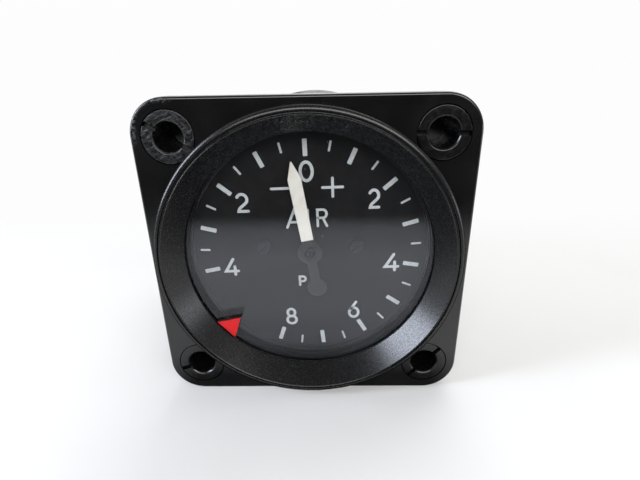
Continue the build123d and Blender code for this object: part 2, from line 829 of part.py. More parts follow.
def capsule(label, front, front_hole, rear_hole):
    """Pair of corrugated diaphragms joined at the rim, with a flat boss in the middle of each."""
    boss_flat = 3.4
    wave = 0.35
    waves = (5.2, 7.2, 9.2, 11.2)
    middle = front + capsule_thickness / 2

    def diaphragm(direction, crest, hole):
        """Outline from the hole to the rim; direction is 1 for the rear diaphragm."""
        points = [(hole, crest), (boss_flat, crest)]
        level = crest - direction * 0.7
        for number, radius in enumerate(waves):
            points.append((radius, level + direction * wave * (-1) ** number))
        points.append((capsule_radius - 0.8, middle + direction * capsule_wall / 2))
        return points

    shell = {}
    for name, direction, hole in (("front", -1, front_hole), ("rear", 1, rear_hole)):
        outer = diaphragm(direction, middle + direction * capsule_thickness / 2, hole)
        inner = diaphragm(direction, middle + direction * (capsule_thickness / 2 - capsule_wall), hole)
        inner[-1] = (capsule_radius - 1.2, middle)
        shell[name] = (outer, inner)
    rim = [(capsule_radius, middle - capsule_wall / 2), (capsule_radius, middle + capsule_wall / 2)]
    outline = (
        shell["front"][0]
        + rim
        + shell["rear"][0][::-1]
        + shell["rear"][1][:-1]
        + [(capsule_radius - 1.2, middle)]
        + shell["front"][1][:-1][::-1]
    )
    with BuildPart() as pair:
        revolve(half_section(outline), axis=Axis.Y)
    finish(pair, label)


capsule("front_capsule", capsule_front, 0, 1.0)
capsule("rear_capsule", rear_capsule_front, 1.0, 1.0)

# Neck between the capsules, and the stem that carries them and leads the pressure in
with BuildPart() as capsule_neck:
    with BuildSketch(facing(capsule_front + capsule_thickness)):
        Circle(2.2)
        Circle(1.0, mode=Mode.SUBTRACT)
    extrude(amount=-capsule_gap)
finish(capsule_neck, "capsule_neck")

with BuildPart() as capsule_stem:
    stem_outline = [
        (1.0, rear_capsule_rear),
        (3.0, rear_capsule_rear),
        (3.0, rear_capsule_rear + 1.0),
        (5.0, rear_capsule_rear + 2.0),
        (5.0, cover_front),
        (3.9, cover_front),
        (3.9, cover_rear - 0.5),
        (1.0, cover_rear - 0.5),
    ]
    revolve(half_section(stem_outline), axis=Axis.Y)
finish(capsule_stem, "capsule_stem")

# Rear cover: cast disc with a spigot in the barrel, radial ribs and a boss for the union
cover_rim_rear = cover_rear - 0.6
with BuildPart() as rear_cover:
    cover_outline = [
        (0, cover_front),
        (rim_radius, cover_front),
        (rim_radius, cover_rim_rear - 0.8),
        (rim_radius - 0.8, cover_rim_rear),
        (24.0, cover_rim_rear),
        (23.0, web_rear),
        (0, web_rear),
    ]
    revolve(half_section(cover_outline), axis=Axis.Y)
    spigot_outline = [
        (cavity_radius - 1.8, cover_front),
        (cavity_radius - 1.8, case_rear - 2.5),
        (cavity_radius - 0.4, case_rear - 2.5),
        (cavity_radius - 0.1, case_rear - 2.2),
        (cavity_radius - 0.1, cover_front),
    ]
    revolve(half_section(spigot_outline), axis=Axis.Y)
    with BuildSketch(facing(web_rear)):
        for rib_angle in cover_rib_angles:
            Rectangle(2 * 23.6, cover_rib_width, rotation=rib_angle)
    extrude(amount=-(cover_rim_rear - web_rear))
    with BuildSketch(facing(cover_front)):
        Circle(cover_boss_radius)
    extrude(amount=-(boss_end - cover_front), taper=cover_boss_draft)
    fillet(rear_cover.faces().sort_by(Axis.Y)[-1].edges(), 0.6)
    with BuildSketch(facing(cover_front)):
        Circle(3.9 + press_clearance)
        with Locations(*cover_screw_places):
            Circle(cover_screw_radius + 0.2)
        with Locations(*post_places):
            Circle(1.2 + press_clearance)
        with Locations((0, vent_height)):
            Circle(vent_shank_radius + press_clearance)
    extrude(amount=-2 * cover_thickness, mode=Mode.SUBTRACT)
    with BuildSketch(facing(cover_rear - 0.5)):
        Circle(union_thread_radius + press_clearance)
    extrude(amount=-2 * cover_boss_height, mode=Mode.SUBTRACT)
finish(rear_cover, "rear_cover")

with BuildPart() as rear_gasket:
    with BuildSketch(facing(case_rear)):
        Circle(rim_radius - 0.2)
        Circle(cavity_radius, mode=Mode.SUBTRACT)
        with Locations(*cover_screw_places):
            Circle(cover_screw_radius + 0.3, mode=Mode.SUBTRACT)
    extrude(amount=-gasket_thickness)
finish(rear_gasket, "rear_gasket")

for number, place in enumerate(cover_screw_places, start=1):
    slotted_screw(
        f"cover_screw_{number}",
        place,
        cover_rim_rear,
        (2.1, 1.5),
        (cover_screw_radius, cover_rim_rear - case_rear + cover_screw_depth),
        inward=-1,
        slot_angle=37 * number,
    )

# Pressure union: hexagon, male pipe end with a bore, and a short end in the cover's boss
with BuildPart() as union_washer:
    with BuildSketch(facing(boss_end)):
        Circle(washer_radius)
        Circle(union_thread_radius + 0.1, mode=Mode.SUBTRACT)
    extrude(amount=-washer_thickness)
finish(union_washer, "union_washer")

with BuildPart() as pressure_union:
    hex_front = boss_end + washer_thickness
    hex_rear = hex_front + union_hex_height
    union_end = hex_rear + union_thread_length
    with BuildSketch(facing(hex_front)):
        RegularPolygon(union_hex / 2, 6, major_radius=False)
    extrude(amount=-(hex_rear - hex_front))
    hex_corner = union_hex / 2 / cos(radians(30))
    crown_outline = [
        (0, hex_front),
        (hex_corner - 0.6, hex_front),
        (hex_corner + 0.2, hex_front + 0.6),
        (hex_corner + 0.2, hex_rear - 0.6),
        (hex_corner - 0.6, hex_rear),
        (0, hex_rear),
    ]
    revolve(half_section(crown_outline), axis=Axis.Y, mode=Mode.INTERSECT)
    pipe_outline = [
        (0, cover_rear),
        (union_thread_radius, cover_rear),
        (union_thread_radius, hex_front),
        (0, hex_front),
    ]
    revolve(half_section(pipe_outline), axis=Axis.Y)
    nose_outline = [
        (0, hex_rear),
        (union_thread_radius - 0.5, hex_rear),
        (union_thread_radius - 0.5, hex_rear + 1.0),
        (union_thread_radius, hex_rear + 1.5),
        (union_thread_radius, union_end - 0.7),
        (union_thread_radius - 0.7, union_end),
        (0, union_end),
    ]
    revolve(half_section(nose_outline), axis=Axis.Y)
    mouth_outline = [
        (0, cover_rear - 1.0),
        (union_bore_radius, cover_rear - 1.0),
        (union_bore_radius, union_end - 2.5),
        (union_bore_radius + 1.6, union_end + 0.1),
        (0, union_end + 0.1),
    ]
    revolve(half_section(mouth_outline), axis=Axis.Y, mode=Mode.SUBTRACT)
finish(pressure_union, "pressure_union")

with BuildPart() as vent_plug:
    with BuildSketch(facing(web_rear)):
        with Locations((0, vent_height)):
            RegularPolygon(vent_hex / 2, 6, major_radius=False)
    extrude(amount=-vent_hex_height)
    with BuildSketch(facing(web_rear)):
        with Locations((0, vent_height)):
            Circle(vent_shank_radius)
    extrude(amount=cover_web)
    with BuildSketch(facing(cover_front)):
        with Locations((0, vent_height)):
            Circle(vent_bore_radius)
    extrude(amount=-3 * cover_thickness, mode=Mode.SUBTRACT)
finish(vent_plug, "vent_plug")
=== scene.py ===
import json
from math import atan2, cos, pi, radians, sin, tan

import bmesh
import bpy
from mathutils import Matrix, Vector


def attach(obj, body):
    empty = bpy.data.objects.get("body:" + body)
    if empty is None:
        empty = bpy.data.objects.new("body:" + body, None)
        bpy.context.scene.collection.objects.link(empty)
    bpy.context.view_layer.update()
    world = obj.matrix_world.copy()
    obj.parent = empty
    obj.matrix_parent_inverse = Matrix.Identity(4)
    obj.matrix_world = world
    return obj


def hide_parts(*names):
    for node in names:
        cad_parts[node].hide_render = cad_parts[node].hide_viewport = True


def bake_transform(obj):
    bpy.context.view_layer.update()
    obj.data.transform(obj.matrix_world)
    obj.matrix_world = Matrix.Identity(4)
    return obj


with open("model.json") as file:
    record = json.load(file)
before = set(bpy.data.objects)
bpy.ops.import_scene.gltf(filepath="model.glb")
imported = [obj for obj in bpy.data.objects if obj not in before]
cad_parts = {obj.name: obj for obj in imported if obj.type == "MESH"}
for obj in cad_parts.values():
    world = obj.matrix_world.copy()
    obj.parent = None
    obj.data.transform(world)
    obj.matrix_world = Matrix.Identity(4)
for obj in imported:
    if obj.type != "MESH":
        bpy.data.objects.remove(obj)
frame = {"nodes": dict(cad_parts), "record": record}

# Aircraft pressure gauge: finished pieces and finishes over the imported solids.
# Sizes are in millimetres until they reach a mesh; depth is along +Y, from the flange's front.
mm = 0.001
scene = bpy.context.scene
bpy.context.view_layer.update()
print("frame loaded:", len(frame["nodes"]), "solids")


def addObject(name, data):
    added = bpy.data.objects.new(name, data)
    scene.collection.objects.link(added)
    return added


def toLinear(hexColour):
    channels = [int(hexColour[i:i + 2], 16) / 255 for i in (1, 3, 5)]
    return (*[c / 12.92 if c <= 0.04045 else ((c + 0.055) / 1.055) ** 2.4 for c in channels], 1.0)


def addNode(tree, kind, sockets=(), **settings):
    # sockets are given by name or in order, and a node among them links from its first output
    node = tree.nodes.new(kind)
    for name, value in settings.items():
        setattr(node, name, value)
    for socket, value in sockets.items() if isinstance(sockets, dict) else enumerate(sockets):
        source = value.outputs[0] if isinstance(value, bpy.types.Node) else value
        if isinstance(source, bpy.types.NodeSocket):
            tree.links.new(source, node.inputs[socket])
        else:
            node.inputs[socket].default_value = source
    return node


def cloud(tree, place, size, detail=3.0, stretch=(1, 1, 1)):
    # soft noise whose lumps are about size mm wide
    drawn = addNode(tree, "ShaderNodeMapping", {"Vector": place, "Scale": stretch})
    sockets = {"Vector": drawn, "Scale": 1 / (size * mm), "Detail": detail}
    return addNode(tree, "ShaderNodeTexNoise", sockets)


# the stretch of the noise's range over which each kind of mark fades in
fadeIn = {"stain": (0.42, 0.68), "dull": (0.3, 0.7), "fleck": (0.55, 0.8), "scratch": (0.57, 0.64)}
scratchedDepth = (0.2 * mm, 0.4 * mm)  # behind the front face, where the scratches run out


def makeFinish(name, look):
    # colour with stains and flecks, gloss that varies, and relief, each at its real size
    material = bpy.data.materials.new(name)
    material.use_nodes = True
    tree = material.node_tree
    tree.nodes.clear()
    shader = addNode(tree, "ShaderNodeBsdfPrincipled")
    addNode(tree, "ShaderNodeOutputMaterial", {"Surface": shader})
    place = addNode(tree, "ShaderNodeTexCoord").outputs["Object"]

    stains = cloud(tree, place, look["stainSize"])
    stained = addNode(tree, "ShaderNodeMapRange", (stains, *fadeIn["stain"]))
    colours = {0: stained, 6: toLinear(look["colour"]), 7: toLinear(look["stain"])}
    colour = addNode(tree, "ShaderNodeMix", colours, data_type="RGBA").outputs[2]
    dulled = cloud(tree, place, look.get("dullSize", 3), 4.0)
    gloss = addNode(tree, "ShaderNodeMapRange", (dulled, *fadeIn["dull"], *look["roughness"]))
    for fleckColour, size, spread, roughness in look.get("flecks", ()):
        cells = addNode(tree, "ShaderNodeTexVoronoi", {"Vector": place, "Scale": 1 / (size * mm)})
        distance = cells.outputs["Distance"]
        near = addNode(tree, "ShaderNodeMapRange", (distance, 0.5 * spread, spread, 1.0, 0.0))
        picked = addNode(tree, "ShaderNodeSeparateColor", (cells.outputs["Color"],))
        kept = addNode(tree, "ShaderNodeMapRange", (picked, *fadeIn["fleck"]))
        fleck = addNode(tree, "ShaderNodeMath", (near, kept), operation="MULTIPLY")
        colours = {0: fleck, 6: colour, 7: toLinear(fleckColour)}
        colour = addNode(tree, "ShaderNodeMix", colours, data_type="RGBA").outputs[2]
        gloss = addNode(tree, "ShaderNodeMix", {0: fleck, 2: gloss, 3: roughness})
    for scratchColour, width, angle in look.get("scratches", ()):
        turnedBy = (0, radians(angle), 0)
        laid = addNode(tree, "ShaderNodeMapping", {"Vector": place, "Rotation": turnedBy})
        lines = cloud(tree, laid, width, 3.0, (0.1, 1, 1))
        scored = addNode(tree, "ShaderNodeMapRange", (lines, *fadeIn["scratch"]))
        depth = addNode(tree, "ShaderNodeSeparateXYZ", (place,)).outputs[1]
        onFace = addNode(tree, "ShaderNodeMapRange", (depth, *scratchedDepth, 1.0, 0.0))
        scored = addNode(tree, "ShaderNodeMath", (scored, onFace), operation="MULTIPLY")
        colours = {0: scored, 6: colour, 7: toLinear(scratchColour)}
        colour = addNode(tree, "ShaderNodeMix", colours, data_type="RGBA").outputs[2]

    normal = None
    for kind, size, depth in look.get("relief", ()):
        if kind == "turned":  # rings round the dial's axis, as a lathe tool leaves them
            height = addNode(tree, "ShaderNodeTexWave", {
                "Vector": place, "Scale": pi / 10 / (size * mm), "Distortion": 0.4, "Detail": 1.0,
            }, wave_type="RINGS", rings_direction="Y").outputs["Fac"]
        elif kind == "brushed":
            height = cloud(tree, place, size, 2.0, (0.06, 1, 1))
        else:
            height = cloud(tree, place, size, 2.0 if kind == "fine" else 0.0)
        sockets = {"Strength": 1.0, "Distance": depth * mm, "Height": height}
        if normal:
            sockets["Normal"] = normal
        normal = addNode(tree, "ShaderNodeBump", sockets)
    if normal:
        tree.links.new(normal.outputs[0], shader.inputs["Normal"])
    tree.links.new(colour, shader.inputs["Base Color"])
    tree.links.new(gloss.outputs[0], shader.inputs["Roughness"])
    shader.inputs["Metallic"].default_value = look.get("metallic", 0.0)
    if "ior" in look:
        shader.inputs["IOR"].default_value = look["ior"]
    return material, tree, shader, place


# Finishes

# Black phenolic, compression moulded in a polished mould: deep gloss, a faint orange peel, dust
blackPhenolic, tree, shader, place = makeFinish("blackPhenolic", {
    "colour": "#0b0b0c", "stain": "#121213", "stainSize": 9,
    "roughness": (0.10, 0.2), "dullSize": 5, "ior": 1.58,
    "flecks": [("#6a6b6e", 2.3, 0.022, 0.6), ("#303134", 1.1, 0.05, 0.5)],
    "relief": [("lumps", 3.0, 0.006), ("fine", 0.3, 0.0006)],
})
# the upper left corner is rubbed dull in a crescent outside its insert
worn = {
    "place": (-24.6, 0.0, 25.0), "inner": (4.1, 4.6), "outer": (5.9, 6.6),
    "towards": (-180.0, 0.0, 180.0), "side": (0.3, 0.8), "patchSize": 0.5, "patches": (0.42, 0.62),
    "colour": "#3c3d40", "roughness": 0.6,
}
spot, inner, outer = [[mm * v for v in worn[key]] for key in ("place", "inner", "outer")]
reach = addNode(tree, "ShaderNodeVectorMath", (place, spot), operation="DISTANCE").outputs["Value"]
offset = addNode(tree, "ShaderNodeVectorMath", (place, spot), operation="SUBTRACT")
side = addNode(tree, "ShaderNodeVectorMath", (offset, worn["towards"]), operation="DOT_PRODUCT")
patches = cloud(tree, place, worn["patchSize"], 4.0)
rubbed = addNode(tree, "ShaderNodeMapRange", (reach, *inner))
for share in (
        addNode(tree, "ShaderNodeMapRange", (reach, *outer, 1.0, 0.0)),
        addNode(tree, "ShaderNodeMapRange", (side.outputs["Value"], *worn["side"])),
        addNode(tree, "ShaderNodeMapRange", (patches, *worn["patches"]))):
    rubbed = addNode(tree, "ShaderNodeMath", (rubbed, share), operation="MULTIPLY")
before = shader.inputs["Base Color"].links[0].from_socket
colours = {0: rubbed, 6: before, 7: toLinear(worn["colour"])}
mixed = addNode(tree, "ShaderNodeMix", colours, data_type="RGBA")
tree.links.new(mixed.outputs[2], shader.inputs["Base Color"])
before = shader.inputs["Roughness"].links[0].from_socket
mixed = addNode(tree, "ShaderNodeMix", {0: rubbed, 2: before, 3: worn["roughness"]})
tree.links.new(mixed.outputs[0], shader.inputs["Roughness"])

# Black nylon bush, moulded: half gloss, lightly scuffed by a screwdriver round the slots
blackNylon = makeFinish("blackNylon", {
    "colour": "#09090a", "stain": "#0f1011", "stainSize": 0.8,
    "roughness": (0.15, 0.3), "dullSize": 0.9, "ior": 1.53,
    "flecks": [("#3d3e42", 0.7, 0.05, 0.5)],
    "relief": [("lumps", 0.8, 0.004), ("fine", 0.2, 0.001)],
})[0]
# The same bush where a loose screwdriver has slipped again and again
scuffedNylon = makeFinish("scuffedNylon", {
    "colour": "#0a0a0b", "stain": "#18191b", "stainSize": 0.6,
    "roughness": (0.2, 0.45), "dullSize": 0.6, "ior": 1.53,
    "scratches": [("#505257", 0.22, 25), ("#2c2d31", 0.3, -38)],
    "relief": [("lumps", 0.6, 0.012), ("fine", 0.2, 0.002)],
})[0]

# Aluminium, turned, grit blasted and anodised black: a dyed oxide skin over the metal, dark
# satin, with fine grains that catch the light
blackAnodised, tree, shader, place = makeFinish("blackAnodised", {
    "colour": "#060607", "stain": "#09090a", "stainSize": 4,
    "roughness": (0.22, 0.32), "dullSize": 0.34, "ior": 1.5,
    "flecks": [("#3e3f44", 0.32, 0.2, 0.36)],
    "relief": [("turned", 0.35, 0.0004), ("fine", 0.3, 0.005)],
})
# painted shade: where the bezel is seen along its surface, its shine is swapped for a dark diffuse
# colour
grazing = {"angles": (0.38, 0.58), "share": (0.0, 0.9), "colour": "#0a0a0b"}
facing = addNode(tree, "ShaderNodeLayerWeight", {"Blend": 0.5}).outputs["Facing"]
grazingPaintedShade = addNode(tree, "ShaderNodeMapRange", (facing, *grazing["angles"], *grazing["share"]))
dull = addNode(tree, "ShaderNodeBsdfDiffuse", {"Color": toLinear(grazing["colour"])})
shineOrPaintedShade = addNode(tree, "ShaderNodeMixShader", (grazingPaintedShade, shader, dull))
tree.links.new(shineOrPaintedShade.outputs[0], tree.nodes["Material Output"].inputs["Surface"])

# Nitrile rubber, cut from sheet: matt black with a soft bloom
nitrileRubber = makeFinish("nitrileRubber", {
    "colour": "#101010", "stain": "#1a1a1b", "stainSize": 1.5,
    "roughness": (0.6, 0.8), "relief": [("fine", 0.25, 0.004)],
})[0]

# Black enamel, sprayed on a turned ring: half gloss
blackEnamel = makeFinish("blackEnamel", {
    "colour": "#0c0c0d", "stain": "#141416", "stainSize": 3,
    "roughness": (0.3, 0.42), "ior": 1.5,
    "relief": [("turned", 0.3, 0.0008), ("fine", 0.25, 0.001)],
})[0]

# Red signal enamel, brushed on: half gloss, a little uneven
redEnamel = makeFinish("redEnamel", {
    "colour": "#d00d17", "stain": "#bf0b14", "stainSize": 1.2,
    "roughness": (0.32, 0.5), "ior": 1.45,
    "relief": [("lumps", 0.7, 0.006), ("fine", 0.18, 0.002)],
})[0]
# The same block's bare sides, where the enamel ran out
redBlockSide = makeFinish("redBlockSide", {
    "colour": "#2a1113", "stain": "#4d1519", "stainSize": 0.7,
    "roughness": (0.45, 0.6), "relief": [("fine", 0.2, 0.004)],
})[0]

# Matt black dial paint, sprayed: no shine, a fine dry grain, a few grains of dust
mattDialPaint = makeFinish("mattDialPaint", {
    "colour": "#060609", "stain": "#09090d", "stainSize": 5,
    "roughness": (0.7, 0.85), "ior": 1.38,
    "flecks": [("#4a4b50", 1.7, 0.03, 0.7)],
    "relief": [("fine", 0.2, 0.003)],
})[0]

# Dial print, screen printed in white ink gone slightly grey
greyedInk = makeFinish("greyedInk", {
    "colour": "#ced4d8", "stain": "#c0c7cc", "stainSize": 0.9,
    "roughness": (0.55, 0.7), "relief": [("fine", 0.12, 0.002)],
})[0]

# Pointer paint, sprayed white and yellowed a little, with tiny specks
ivoryPaint = makeFinish("ivoryPaint", {
    "colour": "#f1efe9", "stain": "#e6e3db", "stainSize": 1.6,
    "roughness": (0.4, 0.55),
    "flecks": [("#a9a69c", 0.8, 0.07, 0.6)],
    "relief": [("fine", 0.2, 0.002)],
})[0]

# Black paint on the pointer's disc and tail, meant not to be seen
mattPointerBlack = makeFinish("mattPointerBlack", {
    "colour": "#0a0a0b", "stain": "#121214", "stainSize": 1.4,
    "roughness": (0.09, 0.22), "ior": 1.55, "flecks": [("#5f6066", 0.9, 0.07, 0.4)],
    "relief": [("fine", 0.2, 0.0015)],
})[0]

# Steel screws, turned and chemically blackened
blackenedSteel = makeFinish("blackenedSteel", {
    "colour": "#26272a", "stain": "#3a3b3f", "stainSize": 0.8,
    "roughness": (0.3, 0.5), "metallic": 0.8,
    "relief": [("fine", 0.15, 0.002)],
})[0]

# Clock brass, milled and grained with fine paper
grainedBrass = makeFinish("grainedBrass", {
    "colour": "#b8923f", "stain": "#9c7a33", "stainSize": 4,
    "roughness": (0.24, 0.38), "metallic": 1.0,
    "relief": [("brushed", 0.3, 0.002)],
})[0]

# Phosphor bronze strip, rolled bright
rolledBronze = makeFinish("rolledBronze", {
    "colour": "#b27a4c", "stain": "#96633b", "stainSize": 2,
    "roughness": (0.2, 0.32), "metallic": 1.0,
    "relief": [("fine", 0.3, 0.001)],
})[0]

# Beryllium copper diaphragms, pressed and left bare
pressedCapsule = makeFinish("pressedCapsule", {
    "colour": "#b98d68", "stain": "#9d7453", "stainSize": 3,
    "roughness": (0.26, 0.4), "metallic": 1.0,
    "relief": [("turned", 0.4, 0.0010)],
})[0]

# Steel staffs and screws, turned and left bright
brightSteel = makeFinish("brightSteel", {
    "colour": "#9da0a4", "stain": "#86898e", "stainSize": 1.5,
    "roughness": (0.2, 0.34), "metallic": 1.0,
    "relief": [("fine", 0.2, 0.001)],
})[0]

# Aluminium casting, sprayed black: coarse sand skin under the paint
paintedCasting = makeFinish("paintedCasting", {
    "colour": "#141415", "stain": "#1f2022", "stainSize": 5,
    "roughness": (0.36, 0.55), "ior": 1.5,
    "flecks": [("#4b4c50", 1.4, 0.05, 0.6)],
    "relief": [("lumps", 0.9, 0.02), ("fine", 0.3, 0.008)],
})[0]

# Vulcanised fibre, cut from sheet: dull red brown
vulcanisedFibre = makeFinish("vulcanisedFibre", {
    "colour": "#5a3026", "stain": "#472319", "stainSize": 1.8,
    "roughness": (0.6, 0.8), "relief": [("fine", 0.4, 0.008)],
})[0]

# Brass fitting, turned from hexagon bar and dull nickel plated
nickelPlate = makeFinish("nickelPlate", {
    "colour": "#a7a294", "stain": "#8f897a", "stainSize": 2.5,
    "roughness": (0.24, 0.4), "metallic": 1.0,
    "relief": [("turned", 0.22, 0.0012), ("fine", 0.5, 0.001)],
})[0]

# Float glass, cut and ground at the edge. A pane this thin is drawn as a sheet that mirrors a
# little and lets the rest through, with a grease film so thin that only the mirror shows it.
clearGlass = bpy.data.materials.new("clearGlass")
clearGlass.use_nodes = True
tree = clearGlass.node_tree
tree.nodes.clear()
pane = {
    "ior": 1.52, "tint": "#fbfbfb", "mirror": "#f1f5ff", "roughness": (0.03, 0.08), "smearSize": 7,
    "smears": (0.4, 0.7), "dustSpacing": 4.2, "dustSize": 0.09, "dust": "#c9c9cc",
}
place = addNode(tree, "ShaderNodeTexCoord").outputs["Object"]
smear = cloud(tree, place, pane["smearSize"], 3.0, (1, 1, 0.4))
smear = addNode(tree, "ShaderNodeMapRange", (smear, *pane["smears"], *pane["roughness"]))
mirror = addNode(tree, "ShaderNodeBsdfGlossy", {"Color": toLinear(pane["mirror"]), "Roughness": smear})
through = addNode(tree, "ShaderNodeBsdfTransparent", {"Color": toLinear(pane["tint"])})
inside = addNode(tree, "ShaderNodeNewGeometry").outputs["Backfacing"]
# the index turns over inside, so that the far face doesn't mirror everything back
index = addNode(tree, "ShaderNodeMapRange", (inside, 0.0, 1.0, pane["ior"], 1 / pane["ior"]))
bounce = addNode(tree, "ShaderNodeFresnel", {"IOR": index})
sheet = addNode(tree, "ShaderNodeMixShader", (bounce, through, mirror))
perMetre = 1 / (pane["dustSpacing"] * mm)
cells = addNode(tree, "ShaderNodeTexVoronoi", {"Vector": place, "Scale": perMetre})
grain = pane["dustSize"] / pane["dustSpacing"]
grains = addNode(tree, "ShaderNodeMapRange", (cells.outputs["Distance"], 0.6 * grain, grain, 1.0, 0.0))
dust = addNode(tree, "ShaderNodeBsdfDiffuse", {"Color": toLinear(pane["dust"])})
sheet = addNode(tree, "ShaderNodeMixShader", (grains, sheet, dust))
addNode(tree, "ShaderNodeOutputMaterial", {"Surface": sheet})

finishOfSlot = {
    "case_black": blackPhenolic, "insert_black": blackNylon, "bezel_black": blackAnodised,
    "seal_rubber": nitrileRubber, "clear_glass": clearGlass, "spacer_black": blackEnamel,
    "marker_red": redEnamel, "dial_black": mattDialPaint, "screw_black": blackenedSteel,
    "pointer_white": ivoryPaint, "hub_black": blackenedSteel, "movement_brass": grainedBrass,
    "spring_bronze": rolledBronze, "capsule_alloy": pressedCapsule, "turned_steel": brightSteel,
    "cover_black": paintedCasting, "gasket_fibre": vulcanisedFibre, "union_brass": nickelPlate,
}
slotOf = {part["node"]: part["material_slot"] for part in frame["record"]["subparts"]}
for nodeName, solid in frame["nodes"].items():
    solid.data.materials.clear()
    solid.data.materials.append(finishOfSlot[slotOf[nodeName]])
print("finishes made:", len(finishOfSlot))


# Making of meshes

def keep(piece, body, nodes, materials=None):
    # puts the piece on its body in place of the solids it stands for
    slots = piece.data.materials
    for number, material in enumerate(materials or [finishOfSlot[slotOf[nodes[0]]]]):
        if number < len(slots):
            slots[number] = material
        else:
            slots.append(material)
    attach(piece, body)
    if nodes:
        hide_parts(*nodes)


def smoothOver(piece, angle=32):
    # round faces shade round and flat faces stay flat
    mesh = piece.data
    mesh.polygons.foreach_set("use_smooth", [True] * len(mesh.polygons))
    mesh.set_sharp_from_angle(angle=radians(angle))
    weighted = piece.modifiers.new("flatFacesFirst", "WEIGHTED_NORMAL")
    weighted.keep_sharp = True
    weighted.weight = 80
    return piece


def meshPiece(name, build):
    shape = bmesh.new()
    build(shape)
    mesh = bpy.data.meshes.new(name)
    shape.to_mesh(mesh)
    shape.free()
    return addObject(name, mesh)


def eased(outline, radius, steps=4):
    # the closed outline with a small round on every corner that is off the axis
    points = [Vector(p) for p in outline]
    rounded = []
    for before, corner, after in zip(points[-1:] + points[:-1], points, points[1:] + points[:1]):
        if corner.x < 1e-6:
            rounded.append(corner)
            continue
        toBefore, toAfter = before - corner, after - corner
        cut = min(radius, 0.4 * toBefore.length, 0.4 * toAfter.length)
        start = corner + toBefore.normalized() * cut
        end = corner + toAfter.normalized() * cut
        for step in range(steps + 1):
            t = step / steps
            rounded.append(start * (1 - t) ** 2 + corner * 2 * t * (1 - t) + end * t ** 2)
    return rounded


def turned(name, outline, sides=192, ease=0.08, radiusAt=None):
    # a closed outline of (radius, depth) in mm, turned once round the Y axis
    section = eased(outline, ease)

    def build(shape):
        rings = []
        for radius, depth in section:
            if radius < 1e-6:
                rings.append([shape.verts.new((0, depth * mm, 0))] * sides)
                continue
            ring = []
            for number in range(sides):
                angle = 2 * pi * number / sides
                r = radiusAt(angle, radius) if radiusAt else radius
                ring.append(shape.verts.new((r * sin(angle) * mm, depth * mm, r * cos(angle) * mm)))
            rings.append(ring)
        for here, there in zip(rings, rings[1:] + rings[:1]):
            for number in range(sides):
                after = (number + 1) % sides
                corners = [here[number], here[after], there[after], there[number]]
                corners = list(dict.fromkeys(corners))
                if len(corners) > 2:
                    shape.faces.new(corners)
        bmesh.ops.remove_doubles(shape, verts=shape.verts, dist=1e-8)
        bmesh.ops.recalc_face_normals(shape, faces=shape.faces)

    return meshPiece(name, build)


def section(sizes, *corners):
    # the outline whose corners are pairs of names from a piece's sizes
    return [tuple(sizes.get(value, value) for value in corner) for corner in corners]


def smoothCopy(name, nodeName):
    # a solid's own mesh with its loose triangles joined, so that it can shade smoothly
    mesh = frame["nodes"][nodeName].data.copy()
    shape = bmesh.new()
    shape.from_mesh(mesh)
    bmesh.ops.remove_doubles(shape, verts=shape.verts, dist=2e-6)
    bmesh.ops.dissolve_limit(shape, angle_limit=radians(0.3), verts=shape.verts, edges=shape.edges)
    shape.to_mesh(mesh)
    shape.free()
    mesh.name = name
    return smoothOver(addObject(name, mesh))


def offsetOutline(points, amount):
    # a closed outline moved inwards (counted anticlockwise) by an amount, corners mitred
    moved = []
    for before, corner, after in zip(points[-1:] + points[:-1], points, points[1:] + points[:1]):
        into, out = (corner - before).normalized(), (after - corner).normalized()
        left = Vector((-into.y - out.y, into.x + out.x))
        if left.length < 1e-9:
            left = Vector((-into.y, into.x)) * 2
        left.normalize()
        reach = max(0.3, left.dot(Vector((-into.y, into.x))))
        moved.append(corner + left * amount / reach)
    return moved


def stamped(name, outline, front, rear, ease, holes=()):
    # a flat piece cut to an anticlockwise outline of (x, z) in mm, with eased edges
    points = [Vector(p) for p in outline]
    levels = [(front, ease), (front + ease * 0.4, ease * 0.35), (front + ease, 0), (rear - ease, 0),
              (rear - ease * 0.4, ease * 0.35), (rear, ease)]

    def build(shape):
        loops = []
        for path, inward in [(points, 1)] + [([Vector(p) for p in hole], -1) for hole in holes]:
            rings = []
            for depth, inset in levels:
                ring = offsetOutline(path, inset * inward)
                rings.append([shape.verts.new((p.x * mm, depth * mm, p.y * mm)) for p in ring])
            for here, there in zip(rings, rings[1:]):
                for number in range(len(here)):
                    after = (number + 1) % len(here)
                    shape.faces.new([here[number], here[after], there[after], there[number]])
            loops.append((rings[0], rings[-1]))
        for end in (0, 1):
            edges = []
            for pair in loops:
                ring = pair[end]
                edges += [shape.edges.get(ends) for ends in zip(ring, ring[1:] + ring[:1])]
            bmesh.ops.triangle_fill(shape, edges=edges, use_beauty=True)
        bmesh.ops.recalc_face_normals(shape, faces=shape.faces)

    return meshPiece(name, build)


def newTree(name, inputs):
    # a Geometry Nodes tree whose named inputs have their kinds and starting values
    tree = bpy.data.node_groups.new(name, "GeometryNodeTree")
    for label, (kind, value) in inputs.items():
        socket = tree.interface.new_socket(label, in_out="INPUT", socket_type="NodeSocket" + kind)
        if value is not None:
            socket.default_value = value
    tree.interface.new_socket("Geometry", in_out="OUTPUT", socket_type="NodeSocketGeometry")
    return tree, tree.nodes.new("NodeGroupInput").outputs


def closeTree(tree, geometry, finish):
    real = addNode(tree, "GeometryNodeRealizeInstances", (geometry,))
    painted = addNode(tree, "GeometryNodeSetMaterial", {"Geometry": real, "Material": finish})
    addNode(tree, "NodeGroupOutput", (painted,))
    return tree


